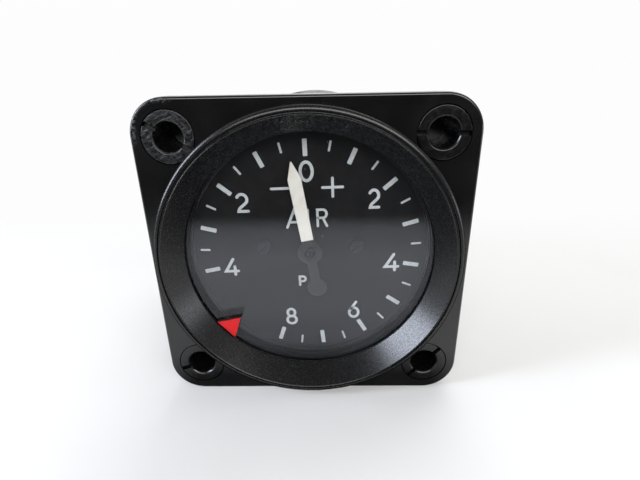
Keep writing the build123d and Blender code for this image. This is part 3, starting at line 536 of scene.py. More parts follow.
def growTree(tree, name, values):
    # runs a tree once and keeps what it made as a plain mesh
    holder = addObject(name + "Seed", bpy.data.meshes.new(name + "Seed"))
    modifier = holder.modifiers.new("shape", "NODES")
    modifier.node_group = tree
    for item in tree.interface.items_tree:
        if item.in_out == "INPUT" and item.name in values:
            modifier[item.identifier] = values[item.name]
    bpy.context.view_layer.update()
    evaluated = holder.evaluated_get(bpy.context.evaluated_depsgraph_get())
    mesh = bpy.data.meshes.new_from_object(evaluated)
    mesh.name = name
    bpy.data.objects.remove(holder)
    return addObject(name, mesh)


# Case: flange, corner bosses and barrel
keep(smoothCopy("caseMoulding", "case_body"), "case", ["case_body"])
print("case done")


# Slotted turnings: a turned blank with a screwdriver slot, set round a circle
tree, given = newTree("slottedTurnings", {
    "Blank": ("Object", None), "Slot Width": ("Float", 1.0), "Slot Depth": ("Float", 1.0),
    "Slot Length": ("Float", 10.0), "Slot Face": ("Float", 0.0), "Slot Turn": ("Float", 0.0),
    "Turn Each": ("Float", 0.0), "Count": ("Int", 1), "Circle": ("Vector", (0.0, 0.0, 0.0)),
    "First Angle": ("Float", 0.0), "Finish": ("Material", None),
})
blank = addNode(tree, "GeometryNodeObjectInfo", {"Object": given["Blank"]}).outputs["Geometry"]
slotSize = addNode(tree, "ShaderNodeCombineXYZ", (
    given["Slot Length"], given["Slot Depth"], given["Slot Width"]))
slotPlace = addNode(tree, "ShaderNodeCombineXYZ", {1: given["Slot Face"]})
cutter = addNode(tree, "GeometryNodeMeshCube", {"Size": slotSize})
cutter = addNode(tree, "GeometryNodeTransform", {0: cutter, "Translation": slotPlace})
cut = addNode(tree, "GeometryNodeMeshBoolean", {"Mesh 1": blank, "Mesh 2": cutter},
              operation="DIFFERENCE", solver="EXACT")
index = addNode(tree, "GeometryNodeInputIndex")
share = addNode(tree, "ShaderNodeMath", (2 * pi, given["Count"]), operation="DIVIDE")
around = addNode(tree, "ShaderNodeMath", (index, share, given["First Angle"]),
                 operation="MULTIPLY_ADD")
turn = addNode(tree, "ShaderNodeMath", (index, given["Turn Each"], given["Slot Turn"]),
               operation="MULTIPLY_ADD")
back = addNode(tree, "ShaderNodeMath", (around, -1.0), operation="MULTIPLY")
spots = addNode(tree, "GeometryNodePoints", {"Count": given["Count"]})
spin = addNode(tree, "ShaderNodeCombineXYZ", {1: back})
placed = addNode(tree, "ShaderNodeVectorRotate", {"Vector": given["Circle"], "Rotation": spin},
                 rotation_type="EULER_XYZ")
spots = addNode(tree, "GeometryNodeSetPosition", {"Geometry": spots, "Position": placed})
slotSpin = addNode(tree, "ShaderNodeMath", (turn, -1.0), operation="MULTIPLY")
slotSpin = addNode(tree, "ShaderNodeCombineXYZ", {1: slotSpin})
row = addNode(tree, "GeometryNodeInstanceOnPoints", {
    "Points": spots, "Instance": cut, "Rotation": slotSpin})
slotTree = closeTree(tree, row, given["Finish"])


def slottedPieces(name, blankOutline, slot, count, circle, firstAngle, finish, ease=0.1, sides=96):
    # slot is (width, depth, face, turn, turn of each next one), with angles anticlockwise from +X
    blankPiece = turned(name + "Blank", blankOutline, sides=sides, ease=ease)
    width, depth, face, slotTurn, turnEach = slot
    reach = 2.2 * max(point[0] for point in blankOutline)
    made = growTree(slotTree, name, {
        "Blank": blankPiece, "Slot Width": width * mm, "Slot Depth": 2 * depth * mm,
        "Slot Length": reach * mm, "Slot Face": face * mm, "Slot Turn": radians(slotTurn),
        "Turn Each": radians(turnEach), "Count": count,
        "Circle": tuple(mm * v for v in circle), "First Angle": radians(firstAngle), "Finish": finish,
    })
    bpy.data.objects.remove(blankPiece)
    return smoothOver(made)


slotKeys = ("slotWidth", "slotDepth", "face", "slotTurn", "turnEach")  # as slottedPieces takes them
insert = {
    "spread": 23.575, "boreRadius": 2.62, "boreEdge": 2.92, "edgeDepth": 0.3, "faceRadius": 4.57,
    "headRadius": 4.62, "headRear": 1.6, "shankRadius": 3.75, "boreEnd": 10.0, "rear": 11.0,
    "slotWidth": 0.9, "slotDepth": 1.1,
    "slotTurns": {"top_left": -32, "top_right": -1, "bottom_left": 18, "bottom_right": 48},
}
outline = section(insert, ("boreEdge", 0), ("faceRadius", 0), ("headRadius", "headRear"),
                  ("shankRadius", "headRear"), ("shankRadius", "rear"), (0, "rear"), (0, "boreEnd"),
                  ("boreRadius", "boreEnd"), ("boreRadius", "edgeDepth"))
for corner, slotTurn in insert["slotTurns"].items():
    x = insert["spread"] * (-1 if "left" in corner else 1)
    z = insert["spread"] * (-1 if "bottom" in corner else 1)
    slot = (insert["slotWidth"], insert["slotDepth"], 0, slotTurn, 0)
    finish = scuffedNylon if corner == "top_left" else blackNylon
    bush = slottedPieces("insert" + corner.title().replace("_", ""), outline, slot, 1, (x, 0, z), 0,
                         finish, ease=0.12)
    keep(bush, "case", ["mount_insert_" + corner], [finish])
print("inserts done")

# Bezel, with the seal, the glass and the spacer that it holds
bezel = [
    (26.9, 3.2), (26.9, -0.3), (28.8, -0.3),  # skirt, and the rim's rear on the flange
    (28.8, -2.25), (28.72, -2.6), (28.5, -2.85), (28.28, -2.98), (28.05, -3.05),  # rounded rim
    (27.85, -3.05), (27.75, -2.7), (27.45, -2.7), (27.35, -3.2),  # shallow ring groove
    (27.25, -3.25), (27.15, -3.17), (24.06, 0.85), (24.06, 1.15),  # deep cone down to the lip
    (25.7, 1.15), (25.7, 3.2),  # seat of the glass
]
keep(smoothOver(turned("bezelRing", bezel, sides=288, ease=0.11)), "case", ["bezel_ring"])

seal = {"inner": 24.16, "outer": 25.6, "front": 1.15, "rear": 1.4}
outline = section(seal, ("inner", "front"), ("outer", "front"), ("outer", "rear"), ("inner", "rear"))
keep(smoothOver(turned("glassSeal", outline, ease=0.05)), "case", ["glass_seal"])

glass = {"radius": 25.6, "flat": 25.45,
         "front": 1.4, "frontBevel": 1.55, "rearBevel": 2.75, "rear": 2.9}
outline = section(glass, (0, "front"), ("flat", "front"), ("radius", "frontBevel"),
                  ("radius", "rearBevel"), ("flat", "rear"), (0, "rear"))
keep(smoothOver(turned("coverGlass", outline, ease=0.03)), "case", ["cover_glass"])
keep(smoothCopy("spacerRing", "spacer_ring"), "case", ["spacer_ring"])
print("bezel and glass done")

# Limit marker: a triangular block on the glass, whose front is enamelled
marker = {"angle": 228.4, "point": 19.15, "base": 23.62, "tipAngle": 60, "front": 0.5, "rear": 1.4,
          "ease": 0.12, "painted": -0.75}
length = marker["base"] - marker["point"]
toward = radians(90 - marker["angle"])
outward, across = Vector((cos(toward), sin(toward))), Vector((-sin(toward), cos(toward)))
halfBase = length * tan(radians(marker["tipAngle"] / 2))
tip = outward * marker["point"]
triangle = [tip, tip + outward * length - across * halfBase, tip + outward * length + across * halfBase]
block = stamped("limitMarker", triangle, marker["front"], marker["rear"], marker["ease"])
smoothOver(block, angle=50)
for polygon in block.data.polygons:
    polygon.material_index = 0 if polygon.normal.y < marker["painted"] else 1
keep(block, "case", ["limit_marker"], [redEnamel, redBlockSide])

# Dial: a disc with a hole for the staff; its print stands a film's thickness in front of it
dial = {"hole": 1.7, "radius": 25.6, "front": 5.6, "rear": 6.4, "film": 0.03, "turn": -1.32,
        "degreesPerUnit": 25.0, "lowest": -4, "outer": 22.46, "drop": 0.17}
outline = section(dial, ("hole", "front"), ("radius", "front"), ("radius", "rear"), ("hole", "rear"))
keep(smoothOver(turned("dialDisc", outline, ease=0.05)), "case", ["dial_plate"])

tree, given = newTree("scaleMarks", {
    "Count": ("Int", 13), "Inner Radius": ("Float", 19.0), "Outer Radius": ("Float", 22.0),
    "Width": ("Float", 1.0), "Corner": ("Float", 0.1), "First Angle": ("Float", 0.0),
    "Step": ("Float", 0.1), "Face": ("Float", 0.0), "Film": ("Float", 0.03), "Drop": ("Float", 0.0),
    "Finish": ("Material", None),
})
radii = (given["Outer Radius"], given["Inner Radius"])
span = addNode(tree, "ShaderNodeMath", radii, operation="SUBTRACT")
middle = addNode(tree, "ShaderNodeMath", radii, operation="ADD")
middle = addNode(tree, "ShaderNodeMath", (middle, 0.5), operation="MULTIPLY")
bar = addNode(tree, "GeometryNodeCurvePrimitiveQuadrilateral", {
    "Width": given["Width"], "Height": span})
bar = addNode(tree, "GeometryNodeFilletCurve", {
    "Curve": bar, "Count": 3, "Radius": given["Corner"], "Limit Radius": True}, mode="POLY")
bar = addNode(tree, "GeometryNodeFillCurve", {"Curve": bar}, mode="NGONS")
stand = addNode(tree, "ShaderNodeCombineXYZ", {1: given["Face"], 2: middle})
bar = addNode(tree, "GeometryNodeTransform", {
    0: bar, "Translation": stand, "Rotation": (pi / 2, 0, 0)})
thick = addNode(tree, "ShaderNodeCombineXYZ", {1: given["Film"]})
thick = addNode(tree, "ShaderNodeVectorMath", {0: thick, "Scale": -1.0}, operation="SCALE")
raised = addNode(tree, "GeometryNodeExtrudeMesh", {
    "Mesh": bar, "Offset": thick, "Individual": False})
under = addNode(tree, "GeometryNodeFlipFaces", {"Mesh": bar})
solidBar = addNode(tree, "GeometryNodeJoinGeometry", (raised,))
tree.links.new(under.outputs[0], solidBar.inputs[0])
index = addNode(tree, "GeometryNodeInputIndex")
angle = addNode(tree, "ShaderNodeMath", (index, given["Step"], given["First Angle"]),
                operation="MULTIPLY_ADD")
turn = addNode(tree, "ShaderNodeCombineXYZ", {1: angle})
points = addNode(tree, "GeometryNodePoints", {"Count": given["Count"]})
marks = addNode(tree, "GeometryNodeInstanceOnPoints", {
    "Points": points, "Instance": solidBar, "Rotation": turn})
lower = addNode(tree, "ShaderNodeMath", (given["Drop"], -1.0), operation="MULTIPLY")
lower = addNode(tree, "ShaderNodeCombineXYZ", {2: lower})
marks = addNode(tree, "GeometryNodeTransform", {0: marks, "Translation": lower})
scaleTree = closeTree(tree, marks, given["Finish"])

scaleOf = {
    "majorMarks": {"count": 13, "first": dial["lowest"], "inner": 19.27, "width": 0.86},
    "minorMarks": {"count": 12, "first": dial["lowest"] + 0.5, "inner": 20.44, "width": 0.42},
}
for name, mark in scaleOf.items():
    marks = growTree(scaleTree, name, {
        "Count": mark["count"], "Inner Radius": mark["inner"] * mm, "Outer Radius": dial["outer"] * mm,
        "Width": mark["width"] * mm, "Corner": 0.14 * mm, "Step": radians(dial["degreesPerUnit"]),
        "First Angle": radians(mark["first"] * dial["degreesPerUnit"] + dial["turn"]),
        "Face": dial["front"] * mm, "Film": dial["film"] * mm, "Drop": dial["drop"] * mm,
        "Finish": greyedInk,
    })
    keep(marks, "case", [], [greyedInk])


# Figures: each is a few pen strokes in a box one unit wide and high, centred on zero
def arc(cx, cz, rx, rz, start, end, steps=14):
    turns = [radians(start + (end - start) * step / steps) for step in range(steps + 1)]
    return [(cx + rx * cos(t), cz + rz * sin(t)) for t in turns]


ring = (0, 360, 28)
figures = {
    "0": [arc(0, 0, 0.5, 0.5, *ring)],
    "2": [arc(-0.02, 0.19, 0.5, 0.31, 152, -28)
          + [(0.22, -0.07), (-0.05, -0.2), (-0.28, -0.31), (-0.39, -0.42), (-0.42, -0.5), (0.5, -0.5)]],
    "4": [[(0.16, 0.5), (-0.5, -0.27), (0.5, -0.27)], [(0.24, 0.02), (0.24, -0.5)]],
    "6": [[(0.26, 0.5), (0.02, 0.3), (-0.2, 0.12), (-0.38, -0.04)]
          + arc(0, -0.19, 0.5, 0.31, 158, 190, 4) + arc(0, -0.19, 0.5, 0.31, 195, 500, 22)],
    "8": [arc(-0.02, 0.25, 0.4, 0.25, *ring), arc(0, -0.24, 0.5, 0.26, *ring)],
    "plus": [[(-0.5, 0), (0.5, 0)], [(0, -0.5), (0, 0.5)]],
    "minus": [[(-0.5, 0), (0.5, 0)]],
    "A": [[(-0.5, -0.5), (0, 0.5), (0.5, -0.5)], [(-0.3, -0.2), (0.3, -0.2)]],
    "I": [[(0, -0.5), (0, 0.5)]],
    "R": [[(-0.5, -0.5), (-0.5, 0.5), (0.05, 0.5)] + arc(0.1, 0.25, 0.4, 0.25, 90, -90) + [(-0.5, 0.0)],
          [(0.08, 0.0), (0.5, -0.5)]],
    "P": [[(-0.5, -0.5), (-0.5, 0.5), (0.0, 0.5)] + arc(0.1, 0.22, 0.4, 0.28, 90, -90)
          + [(-0.5, -0.06)]],
    "S": [arc(0, 0.24, 0.48, 0.26, 30, 250) + arc(0, -0.25, 0.5, 0.25, 70, -150)],
}
# figure, centre x and z, width and height over the strokes, stroke width
legend = [
    ("0", -0.34, 16.37, 2.9, 4.17, 0.6), ("2", -13.02, 10.33, 2.61, 4.04, 0.58),
    ("2", 12.69, 10.85, 2.36, 4.06, 0.58), ("4", -16.4, -3.48, 3.18, 4.11, 0.6),
    ("4", 16.68, -2.75, 3.24, 4.15, 0.6), ("6", 9.04, -13.87, 2.52, 4.25, 0.58),
    ("8", -4.43, -15.47, 2.55, 4.23, 0.58), ("plus", 4.65, 13.23, 4.38, 4.14, 0.52),
    ("minus", -5.3, 13.1, 4.3, 0.52, 0.52), ("A", -2.95, 6.93, 3.5, 4.05, 0.5),
    ("I", -0.25, 6.98, 0.5, 4.0, 0.5), ("R", 2.54, 7.07, 2.3, 3.9, 0.5),
    ("P", -1.74, -6.8, 1.68, 2.44, 0.48), ("S", 0.66, -6.9, 1.3, 2.3, 0.44),
    ("I", 1.68, -6.9, 0.44, 2.3, 0.44),
]


def penStroke(shape, path, width, depth):
    # a flat ribbon with round ends along a path of (x, z) points in mm
    roundEnd = (-1.2, -0.8, -0.4, 0.0, 0.4, 0.8, 1.2)
    closed = (path[0] - path[-1]).length < 1e-6
    if closed:
        path = path[:-1]
    sides = []
    for number, point in enumerate(path):
        before = path[number - 1] if number or closed else None
        after = path[(number + 1) % len(path)] if number + 1 < len(path) or closed else None
        into = (point - before).normalized() if before is not None else (after - point).normalized()
        out = (after - point).normalized() if after is not None else into
        left = Vector((-into.y - out.y, into.x + out.x)).normalized()
        reach = width / 2 / max(0.36, left.dot(Vector((-into.y, into.x))))  # mitres stay short
        sides.append((point + left * reach, point - left * reach))
    placed = [[shape.verts.new((p.x * mm, depth * mm, p.y * mm)) for p in pair] for pair in sides]
    pairs = list(zip(placed, placed[1:] + (placed[:1] if closed else [])))
    for a, b in pairs:
        shape.faces.new([a[0], a[1], b[1], b[0]])
    if closed:
        return
    for end, point, towards in ((0, path[0], path[0] - path[1]), (-1, path[-1], path[-1] - path[-2])):
        start = atan2(towards.y, towards.x)
        bend = [point + Vector((cos(start + a), sin(start + a))) * width / 2 for a in roundEnd]
        cap = [shape.verts.new((p.x * mm, depth * mm, p.y * mm)) for p in bend]
        corners = placed[end] if end == 0 else placed[end][::-1]
        shape.faces.new([corners[0]] + cap + [corners[1]])


def printFigures(shape):
    lean = radians(-dial["turn"])
    layerStep = 0.002  # crossing strokes lie a hair over each other
    for figure, x, z, wide, high, pen in legend:
        for layer, stroke in enumerate(figures[figure]):
            path = []
            for u, v in stroke:
                across, up = u * (wide - pen), v * (high - pen)
                turnedTo = (across * cos(lean) - up * sin(lean), across * sin(lean) + up * cos(lean))
                path.append(Vector((x + turnedTo[0], z - dial["drop"] + turnedTo[1])))
            penStroke(shape, path, pen, dial["front"] - dial["film"] + layerStep * layer)
    bmesh.ops.recalc_face_normals(shape, faces=shape.faces)
    for face in shape.faces:
        if face.normal.y > 0:
            face.normal_flip()


keep(meshPiece("dialFigures", printFigures), "case", [], [greyedInk])
print("dial done")

# Dial screws: cheese heads beside the pointer
dialScrew = {
    "apart": 9.5, "z": 0.8, "face": 4.9, "faceRadius": 1.4, "bevel": 5.04, "headRadius": 1.5,
    "headRear": 5.6, "shankRadius": 0.8, "end": 8.6,
    "slotWidth": 0.4, "slotDepth": 0.31, "slotTurn": 35, "turnEach": 0,
}
screw = section(dialScrew, (0, "face"), ("faceRadius", "face"), ("headRadius", "bevel"),
                ("headRadius", "headRear"), ("shankRadius", "headRear"), ("shankRadius", "end"),
                (0, "end"))
slot = [dialScrew[key] for key in slotKeys]
for side, x in (("Left", -dialScrew["apart"]), ("Right", dialScrew["apart"])):
    piece = slottedPieces("dialScrew" + side, screw, slot, 1, (x, 0, dialScrew["z"]), 0,
                          blackenedSteel, ease=0.06, sides=64)
    keep(piece, "case", ["dial_screw_" + side.lower()])

# Pointer: a white blade on a black disc and tail, cut in one piece
pointer = {
    "turn": -9.57, "front": 4.0, "rear": 4.35, "disc": 2.55, "discSide": (-66.0, 61.3),
    "bladeRoot": 1.225, "shoulder": (1.3, 15.3), "tip": 18.7, "tipHalf": 0.12, "tailCentre": 7.9,
    "tailRadius": 2.1, "tailSide": (120, 420), "whiteFrom": 2.7, "bore": 1.01, "ease": 0.13,
}
rightOfDisc = arc(0, 0, pointer["disc"], pointer["disc"], *pointer["discSide"], 18)
tailEnd = arc(0, -pointer["tailCentre"], pointer["tailRadius"], pointer["tailRadius"],
              *pointer["tailSide"], 36)
rightHalf = rightOfDisc + [(pointer["bladeRoot"], pointer["whiteFrom"] + 0.2), pointer["shoulder"],
                           (pointer["tipHalf"], pointer["tip"] - 0.1)]
outline = rightHalf + [(-x, z) for x, z in reversed(rightHalf)] + tailEnd
swing = radians(-pointer["turn"])
outline = [(x * cos(swing) - z * sin(swing), x * sin(swing) + z * cos(swing)) for x, z in outline]
bore = arc(0, 0, pointer["bore"], pointer["bore"], 360, 0, 32)[-2::-1]
needle = stamped("pointerNeedle", outline, pointer["front"], pointer["rear"], pointer["ease"], [bore])
shape = bmesh.new()
shape.from_mesh(needle.data)
along = Vector((-sin(swing), 0, cos(swing)))
cutPlane = along * pointer["whiteFrom"] * mm
everything = shape.verts[:] + shape.edges[:] + shape.faces[:]
bmesh.ops.bisect_plane(shape, geom=everything, plane_co=cutPlane, plane_no=along)
for face in shape.faces:
    face.material_index = 0 if face.calc_center_median().dot(along) > pointer["whiteFrom"] * mm else 1
shape.to_mesh(needle.data)
shape.free()
keep(smoothOver(needle, angle=50), "pointer", ["pointer"], [ivoryPaint, mattPointerBlack])

hub = {"bore": 0.45, "radius": 1.0, "flangeRadius": 1.5,
       "front": 3.75, "flangeFront": 4.35, "flangeRear": 4.65, "rear": 5.25}
outline = section(hub, ("bore", "front"), ("radius", "front"), ("radius", "flangeFront"),
                  ("flangeRadius", "flangeFront"), ("flangeRadius", "flangeRear"),
                  ("radius", "flangeRear"), ("radius", "rear"), ("bore", "rear"))
keep(smoothOver(turned("pointerBush", outline, sides=64, ease=0.06)), "pointer", ["pointer_hub"])
staff = smoothCopy("staff", "pinion_staff")
for polygon in staff.data.polygons:
    polygon.material_index = 1 if polygon.center.y < pointer["rear"] * mm else 0
keep(staff, "pointer", ["pinion_staff"], [brightSteel, blackenedSteel])
print("pointer done")

# Front capsule: a smoothed copy of its solid in the pressed finish, in the solid's place and on no body
capsule = smoothCopy("frontCapsule", "front_capsule")
capsule.data.materials[0] = pressedCapsule
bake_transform(capsule)
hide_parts("front_capsule")
print("capsule done")

# Rear: cover, gasket, vent and the union's washer, and the four cover screws
for name, nodeName in (("rearCasting", "rear_cover"), ("rearGasket", "rear_gasket"),
                       ("ventPlug", "vent_plug"), ("unionWasher", "union_washer")):
    keep(smoothCopy(name, nodeName), "case", [nodeName])
coverScrew = {
    "circle": 27.1, "firstAngle": 45, "face": 59.4, "faceRadius": 1.8, "bevel": 59.1,
    "headRadius": 2.1, "headFront": 57.9, "shankRadius": 1.2, "end": 50.0,
    "slotWidth": 0.57, "slotDepth": 0.68, "slotTurn": 37, "turnEach": 37,
}
screw = section(coverScrew, (0, "end"), ("shankRadius", "end"), ("shankRadius", "headFront"),
                ("headRadius", "headFront"), ("headRadius", "bevel"), ("faceRadius", "face"),
                (0, "face"))
slot = [coverScrew[key] for key in slotKeys]
screws = slottedPieces("coverScrews", screw, slot, 4, (coverScrew["circle"], 0, 0),
                       coverScrew["firstAngle"], blackenedSteel, ease=0.12, sides=64)
keep(screws, "case", ["cover_screw_1", "cover_screw_2", "cover_screw_3", "cover_screw_4"])
print("rear done")

# Pressure union: a hexagon turned down to a threaded pipe end
union = {
    "bore": 1.6, "front": 58.0, "spigot": ((3.85, 0.0), (4.3, 0.2), (4.86, 0.4)),
    "apothem": 7.0, "hexFront": 63.0, "hexRear": 68.5, "crown": (0.8, 0.6), "neck": 4.36,
    "threadFront": 70.0, "threadRear": 79.8, "end": 80.5, "major": 4.86, "pitch": 0.907,
    "threadDepth": 0.56, "flank": 2.6, "rootFlat": 0.15, "runOut": 12.0,
}


def hexLimit(angle, radius):
    # the hexagon's flats cut into the turned crown
    turn = (angle + pi / 6) % (pi / 3) - pi / 6
    return min(radius, union["apothem"] / cos(turn))


top = union["apothem"] / cos(pi / 6) + 0.2
root = union["major"] - union["threadDepth"]
high, wide = union["crown"]
steps = [number / 5 for number in range(6)]
frontCrown = [(top - high * (1 - t), union["hexFront"] + wide * t) for t in steps]
rearCrown = [(top - high * t, union["hexRear"] - wide * (1 - t)) for t in steps]
fitting = (
    [(union["bore"], union["front"])] + [(r, union["front"] + y) for r, y in union["spigot"]]
    + [(union["spigot"][-1][0], union["hexFront"])] + frontCrown + rearCrown
    + [(union["neck"], union["hexRear"]), (union["neck"], union["threadFront"] - 0.1),
       (root, union["threadFront"]), (root, union["threadRear"]), (root - 0.1, union["end"]),
       (union["bore"] + 0.5, union["end"]), (union["bore"], union["end"] - 0.5)]
)
fittingBody = turned("pressureUnion", fitting, ease=0.05, radiusAt=hexLimit)

tree, given = newTree("pipeThread", {
    "Major Radius": ("Float", 5.0), "Pitch": ("Float", 1.0), "Depth": ("Float", 0.5),
    "Front": ("Float", 0.0), "Length": ("Float", 10.0), "Finish": ("Material", None),
})
sheetGrid = addNode(tree, "GeometryNodeMeshGrid", {
    "Size X": 1.0, "Size Y": 1.0, "Vertices X": 97, "Vertices Y": 177}).outputs[0]
spot = addNode(tree, "GeometryNodeInputPosition")
spot = addNode(tree, "ShaderNodeSeparateXYZ", (spot,)).outputs
angle = addNode(tree, "ShaderNodeMath", (spot[0], 2 * pi), operation="MULTIPLY")
share = addNode(tree, "ShaderNodeMath", (spot[1], 0.5), operation="ADD")
depth = addNode(tree, "ShaderNodeMath", (share, given["Length"]), operation="MULTIPLY")
turns = addNode(tree, "ShaderNodeMath", (depth, given["Pitch"]), operation="DIVIDE")
turns = addNode(tree, "ShaderNodeMath", (turns, spot[0]), operation="SUBTRACT")
wave = addNode(tree, "ShaderNodeMath", (turns, 0.5), operation="PINGPONG")
wave = addNode(tree, "ShaderNodeMath", (wave, union["flank"]), operation="MULTIPLY")
wave = addNode(tree, "ShaderNodeMath", (wave, union["rootFlat"]), operation="SUBTRACT",
               use_clamp=True)
ends = addNode(tree, "ShaderNodeMath", (share, 0.5), operation="PINGPONG")
ends = addNode(tree, "ShaderNodeMath", (ends, union["runOut"]), operation="MULTIPLY",
               use_clamp=True)
radius = given["Major Radius"]
for part in (wave, ends):  # both go from 0 at the thread's root to 1 at its crest
    below = addNode(tree, "ShaderNodeMath", (part, 1.0), operation="SUBTRACT")
    radius = addNode(tree, "ShaderNodeMath", (below, given["Depth"], radius),
                     operation="MULTIPLY_ADD")
rootRadius = addNode(tree, "ShaderNodeMath", (given["Major Radius"], given["Depth"]),
                     operation="SUBTRACT")
radius = addNode(tree, "ShaderNodeMath", (radius, rootRadius), operation="MAXIMUM")
sine = addNode(tree, "ShaderNodeMath", (angle,), operation="SINE")
cosine = addNode(tree, "ShaderNodeMath", (angle,), operation="COSINE")
sideways = addNode(tree, "ShaderNodeMath", (radius, sine), operation="MULTIPLY")
upward = addNode(tree, "ShaderNodeMath", (radius, cosine), operation="MULTIPLY")
depth = addNode(tree, "ShaderNodeMath", (depth, given["Front"]), operation="ADD")
wrapped = addNode(tree, "ShaderNodeCombineXYZ", (sideways, depth, upward))
sleeve = addNode(tree, "GeometryNodeSetPosition", {"Geometry": sheetGrid, "Position": wrapped})
sleeve = addNode(tree, "GeometryNodeMergeByDistance", {"Geometry": sleeve, "Distance": 1e-7})
threadTree = closeTree(tree, sleeve, given["Finish"])
thread = growTree(threadTree, "unionThread", {
    "Major Radius": union["major"] * mm, "Pitch": union["pitch"] * mm,
    "Depth": union["threadDepth"] * mm, "Front": union["threadFront"] * mm,
    "Length": (union["threadRear"] - union["threadFront"]) * mm, "Finish": nickelPlate,
})
shape = bmesh.new()
shape.from_mesh(fittingBody.data)
shape.from_mesh(thread.data)
shape.to_mesh(fittingBody.data)
shape.free()
bpy.data.objects.remove(thread)
keep(smoothOver(fittingBody), "case", ["pressure_union"])
print("union done")

# Floor: a pale sheet that ends just behind the camera and sweeps up far behind the object
floorAt = {"height": -30.17, "front": -112.0, "rear": 520.0, "half": 700.0, "rise": 400.0,
           "sweep": 200.0}
paper, tree, shader, place = makeFinish("palePaper", {
    "colour": "#e6e6e5", "stain": "#e1e1e0", "stainSize": 60, "roughness": (0.8, 0.95),
    "relief": [("fine", 0.8, 0.003)],
})
# Far back it runs into the white of the studio. What the glass and the black pieces mirror of it
# is painted shade: greyed towards the camera and dark at its front edge, with a painted shadow
# under the object and, before it, a white strip that glows as a painted reflection.
fade = {
    "edge": "#161616", "edgeFrom": -112.0, "edgeTo": -94.0, "grey": "#b0b0ae", "greyTo": -52.0,
    "white": "#fdfdfd", "whiteFrom": -5.0, "whiteTo": 120.0,
    "stripFrom": -75.0, "stripFull": -38.0, "stripEnds": -31.0, "stripGone": -18.0,
    "paintedShadow": "#1e1e1e", "patchFrom": -13.0, "patchFull": -4.0, "patchEnds": 3.0, "patchGone": 6.0,
    "patchSide": 26.0, "patchSideGone": 37.0,
}
here = addNode(tree, "ShaderNodeSeparateXYZ", (place,)).outputs
aside = addNode(tree, "ShaderNodeMath", (here[0],), operation="ABSOLUTE")
falling = (1.0, 0.0)


def fadeBetween(start, end, values=(0.0, 1.0), along=here[1]):
    ends = (fade[start] * mm, fade[end] * mm)
    return addNode(tree, "ShaderNodeMapRange", (along, *ends, *values))


before = shader.inputs["Base Color"].links[0].from_socket
# painted shadow: a dark patch under the object's front, seen only by mirror rays
paintedShadow = fadeBetween("patchFrom", "patchFull")
for share in (fadeBetween("patchEnds", "patchGone", falling),
              fadeBetween("patchSide", "patchSideGone", falling, aside)):
    paintedShadow = addNode(tree, "ShaderNodeMath", (paintedShadow, share), operation="MULTIPLY")
ray = addNode(tree, "ShaderNodeLightPath").outputs
mirrored = ray["Is Glossy Ray"]
shaded = before
# painted shade for mirror rays only: grey towards the camera, dark at the front edge, painted shadow
# under the object
for share, first, second in (
        (fadeBetween("edgeTo", "greyTo"), toLinear(fade["grey"]), None),
        (fadeBetween("edgeFrom", "edgeTo"), toLinear(fade["edge"]), None),
        (paintedShadow, None, toLinear(fade["paintedShadow"])), (mirrored, before, None)):
    colours = {0: share, 6: first or shaded, 7: second or shaded}
    shaded = addNode(tree, "ShaderNodeMix", colours, data_type="RGBA").outputs[2]
tree.links.new(shaded, shader.inputs["Base Color"])
looked = addNode(tree, "ShaderNodeMath", (ray["Is Camera Ray"], mirrored), operation="MAXIMUM")
looked = addNode(tree, "ShaderNodeMath", (looked, ray["Is Transmission Ray"]), operation="MAXIMUM")
far = fadeBetween("whiteFrom", "whiteTo")
far = addNode(tree, "ShaderNodeMath", (looked, far), operation="MULTIPLY")
# painted reflection: a strip before the object that glows white for mirror rays only
paintedGlowStrip = fadeBetween("stripFrom", "stripFull")
for share in (fadeBetween("stripEnds", "stripGone", falling), mirrored):
    paintedGlowStrip = addNode(tree, "ShaderNodeMath", (paintedGlowStrip, share), operation="MULTIPLY")
backdropOrPaintedGlow = addNode(tree, "ShaderNodeMath", (far, paintedGlowStrip), operation="MAXIMUM")
white = addNode(tree, "ShaderNodeEmission", {"Color": toLinear(fade["white"]), "Strength": 1.0})
paperShown = addNode(tree, "ShaderNodeMixShader", (backdropOrPaintedGlow, shader, white))
tree.links.new(paperShown.outputs[0], tree.nodes["Material Output"].inputs["Surface"])


def layFloor(shape):
    sweep = floorAt["sweep"]
    bend = [radians(9 * step) for step in range(1, 11)]
    section = [(floorAt["front"], 0.0), (floorAt["rear"] - sweep, 0.0)]
    section += [(floorAt["rear"] - sweep + sweep * sin(a), sweep - sweep * cos(a)) for a in bend]
    section += [(floorAt["rear"], floorAt["rise"])]
    rows = [[shape.verts.new((x * mm, y * mm, (floorAt["height"] + z) * mm))
             for x in (-floorAt["half"], floorAt["half"])] for y, z in section]
    for nearRow, farRow in zip(rows, rows[1:]):
        shape.faces.new([nearRow[0], nearRow[1], farRow[1], farRow[0]])


floor = meshPiece("floorSheet", layFloor)
floor.data.polygons.foreach_set("use_smooth", [True] * len(floor.data.polygons))
floor.data.materials.append(paper)

# Lamps: a soft window low on the left, a weak one low on the right, a broad one ahead, one behind
lamps = {
    "windowLeft": {"place": (-455, -145, 168), "size": (110, 285), "watts": 2.17, "colour": "#e6eeff"},
    "windowRight": {"place": (480, -130, 0), "size": (160, 110), "watts": 0.24, "colour": "#f2f5ff"},
    "ahead": {"place": (90, -480, 280), "size": (800, 240), "watts": 3.6, "colour": "#fffefb"},
    "behind": {"place": (160, 380, 520), "size": (600, 300), "watts": 1.8, "colour": "#ffffff"},
}
for name, lamp in lamps.items():
    light = bpy.data.lights.new(name, "AREA")
    light.shape = "RECTANGLE"
    light.size, light.size_y = lamp["size"][0] * mm, lamp["size"][1] * mm
    light.energy = lamp["watts"]
    light.color = toLinear(lamp["colour"])[:3]
    holder = addObject(name, light)
    holder.location = Vector(lamp["place"]) * mm
    holder.rotation_euler = (-holder.location).to_track_quat("-Z", "Y").to_euler()
    holder.visible_camera = False

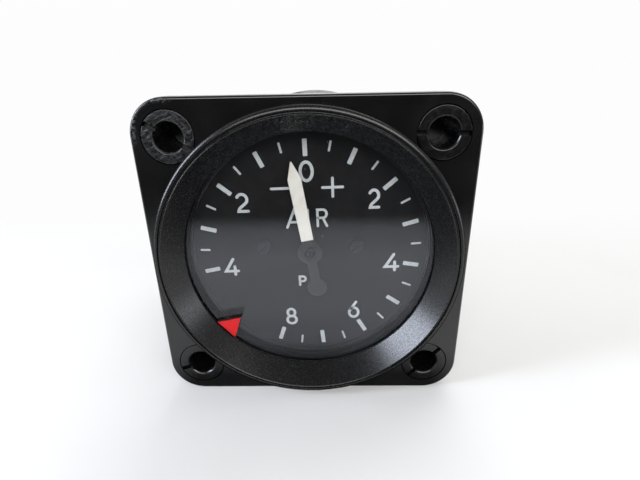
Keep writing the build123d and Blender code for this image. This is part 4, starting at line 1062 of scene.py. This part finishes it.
# World: pale at the sides and back, dark in front, white where the camera looks past it all
sky = {"depths": (-0.55, 0.35), "strength": (0.03, 0.65), "sides": 0.2,
       "room": "#ffffff", "seen": "#fdfdfd"}
world = bpy.data.worlds.new("softStudio")
scene.world = world
world.use_nodes = True
tree = world.node_tree
tree.nodes.clear()
direction = addNode(tree, "ShaderNodeTexCoord").outputs["Generated"]
parts = addNode(tree, "ShaderNodeSeparateXYZ", (direction,)).outputs
level = addNode(tree, "ShaderNodeMapRange", (parts[1], *sky["depths"], *sky["strength"]))
sideways = addNode(tree, "ShaderNodeMath", (parts[0], parts[0]), operation="MULTIPLY")
level = addNode(tree, "ShaderNodeMath", (sideways, sky["sides"], level), operation="MULTIPLY_ADD")
room = addNode(tree, "ShaderNodeBackground", {"Color": toLinear(sky["room"]), "Strength": level})
white = addNode(tree, "ShaderNodeBackground", {"Color": toLinear(sky["seen"]), "Strength": 1.0})
ray = addNode(tree, "ShaderNodeLightPath").outputs["Is Camera Ray"]
seen = addNode(tree, "ShaderNodeMixShader", (ray, room, white))
addNode(tree, "ShaderNodeOutputWorld", {"Surface": seen})

# Camera: close in front, a little to the right and looking down
viewpoint = {"place": (3.71, -70.40, 32.43), "azimuth": -1.26, "down": 21.70, "roll": -1.09,
             "lens": 22.78, "sensor": 36, "nearest": 0.005}
azimuth, down, roll = (radians(viewpoint[k]) for k in ("azimuth", "down", "roll"))
ahead = Vector((sin(azimuth) * cos(down), cos(azimuth) * cos(down), -sin(down)))
level = Vector((cos(azimuth), -sin(azimuth), 0))
above = level.cross(ahead)
right, up = cos(roll) * level + sin(roll) * above, -sin(roll) * level + cos(roll) * above
camera = addObject("camera", bpy.data.cameras.new("camera"))
camera.data.lens = viewpoint["lens"]
camera.data.sensor_width = viewpoint["sensor"]
camera.data.clip_start = viewpoint["nearest"]
camera.matrix_world = Matrix((
    (right.x, up.x, -ahead.x, viewpoint["place"][0] * mm),
    (right.y, up.y, -ahead.y, viewpoint["place"][1] * mm),
    (right.z, up.z, -ahead.z, viewpoint["place"][2] * mm),
    (0, 0, 0, 1),
))
scene.camera = camera
scene.view_settings.view_transform = "Standard"

print("scene ready")
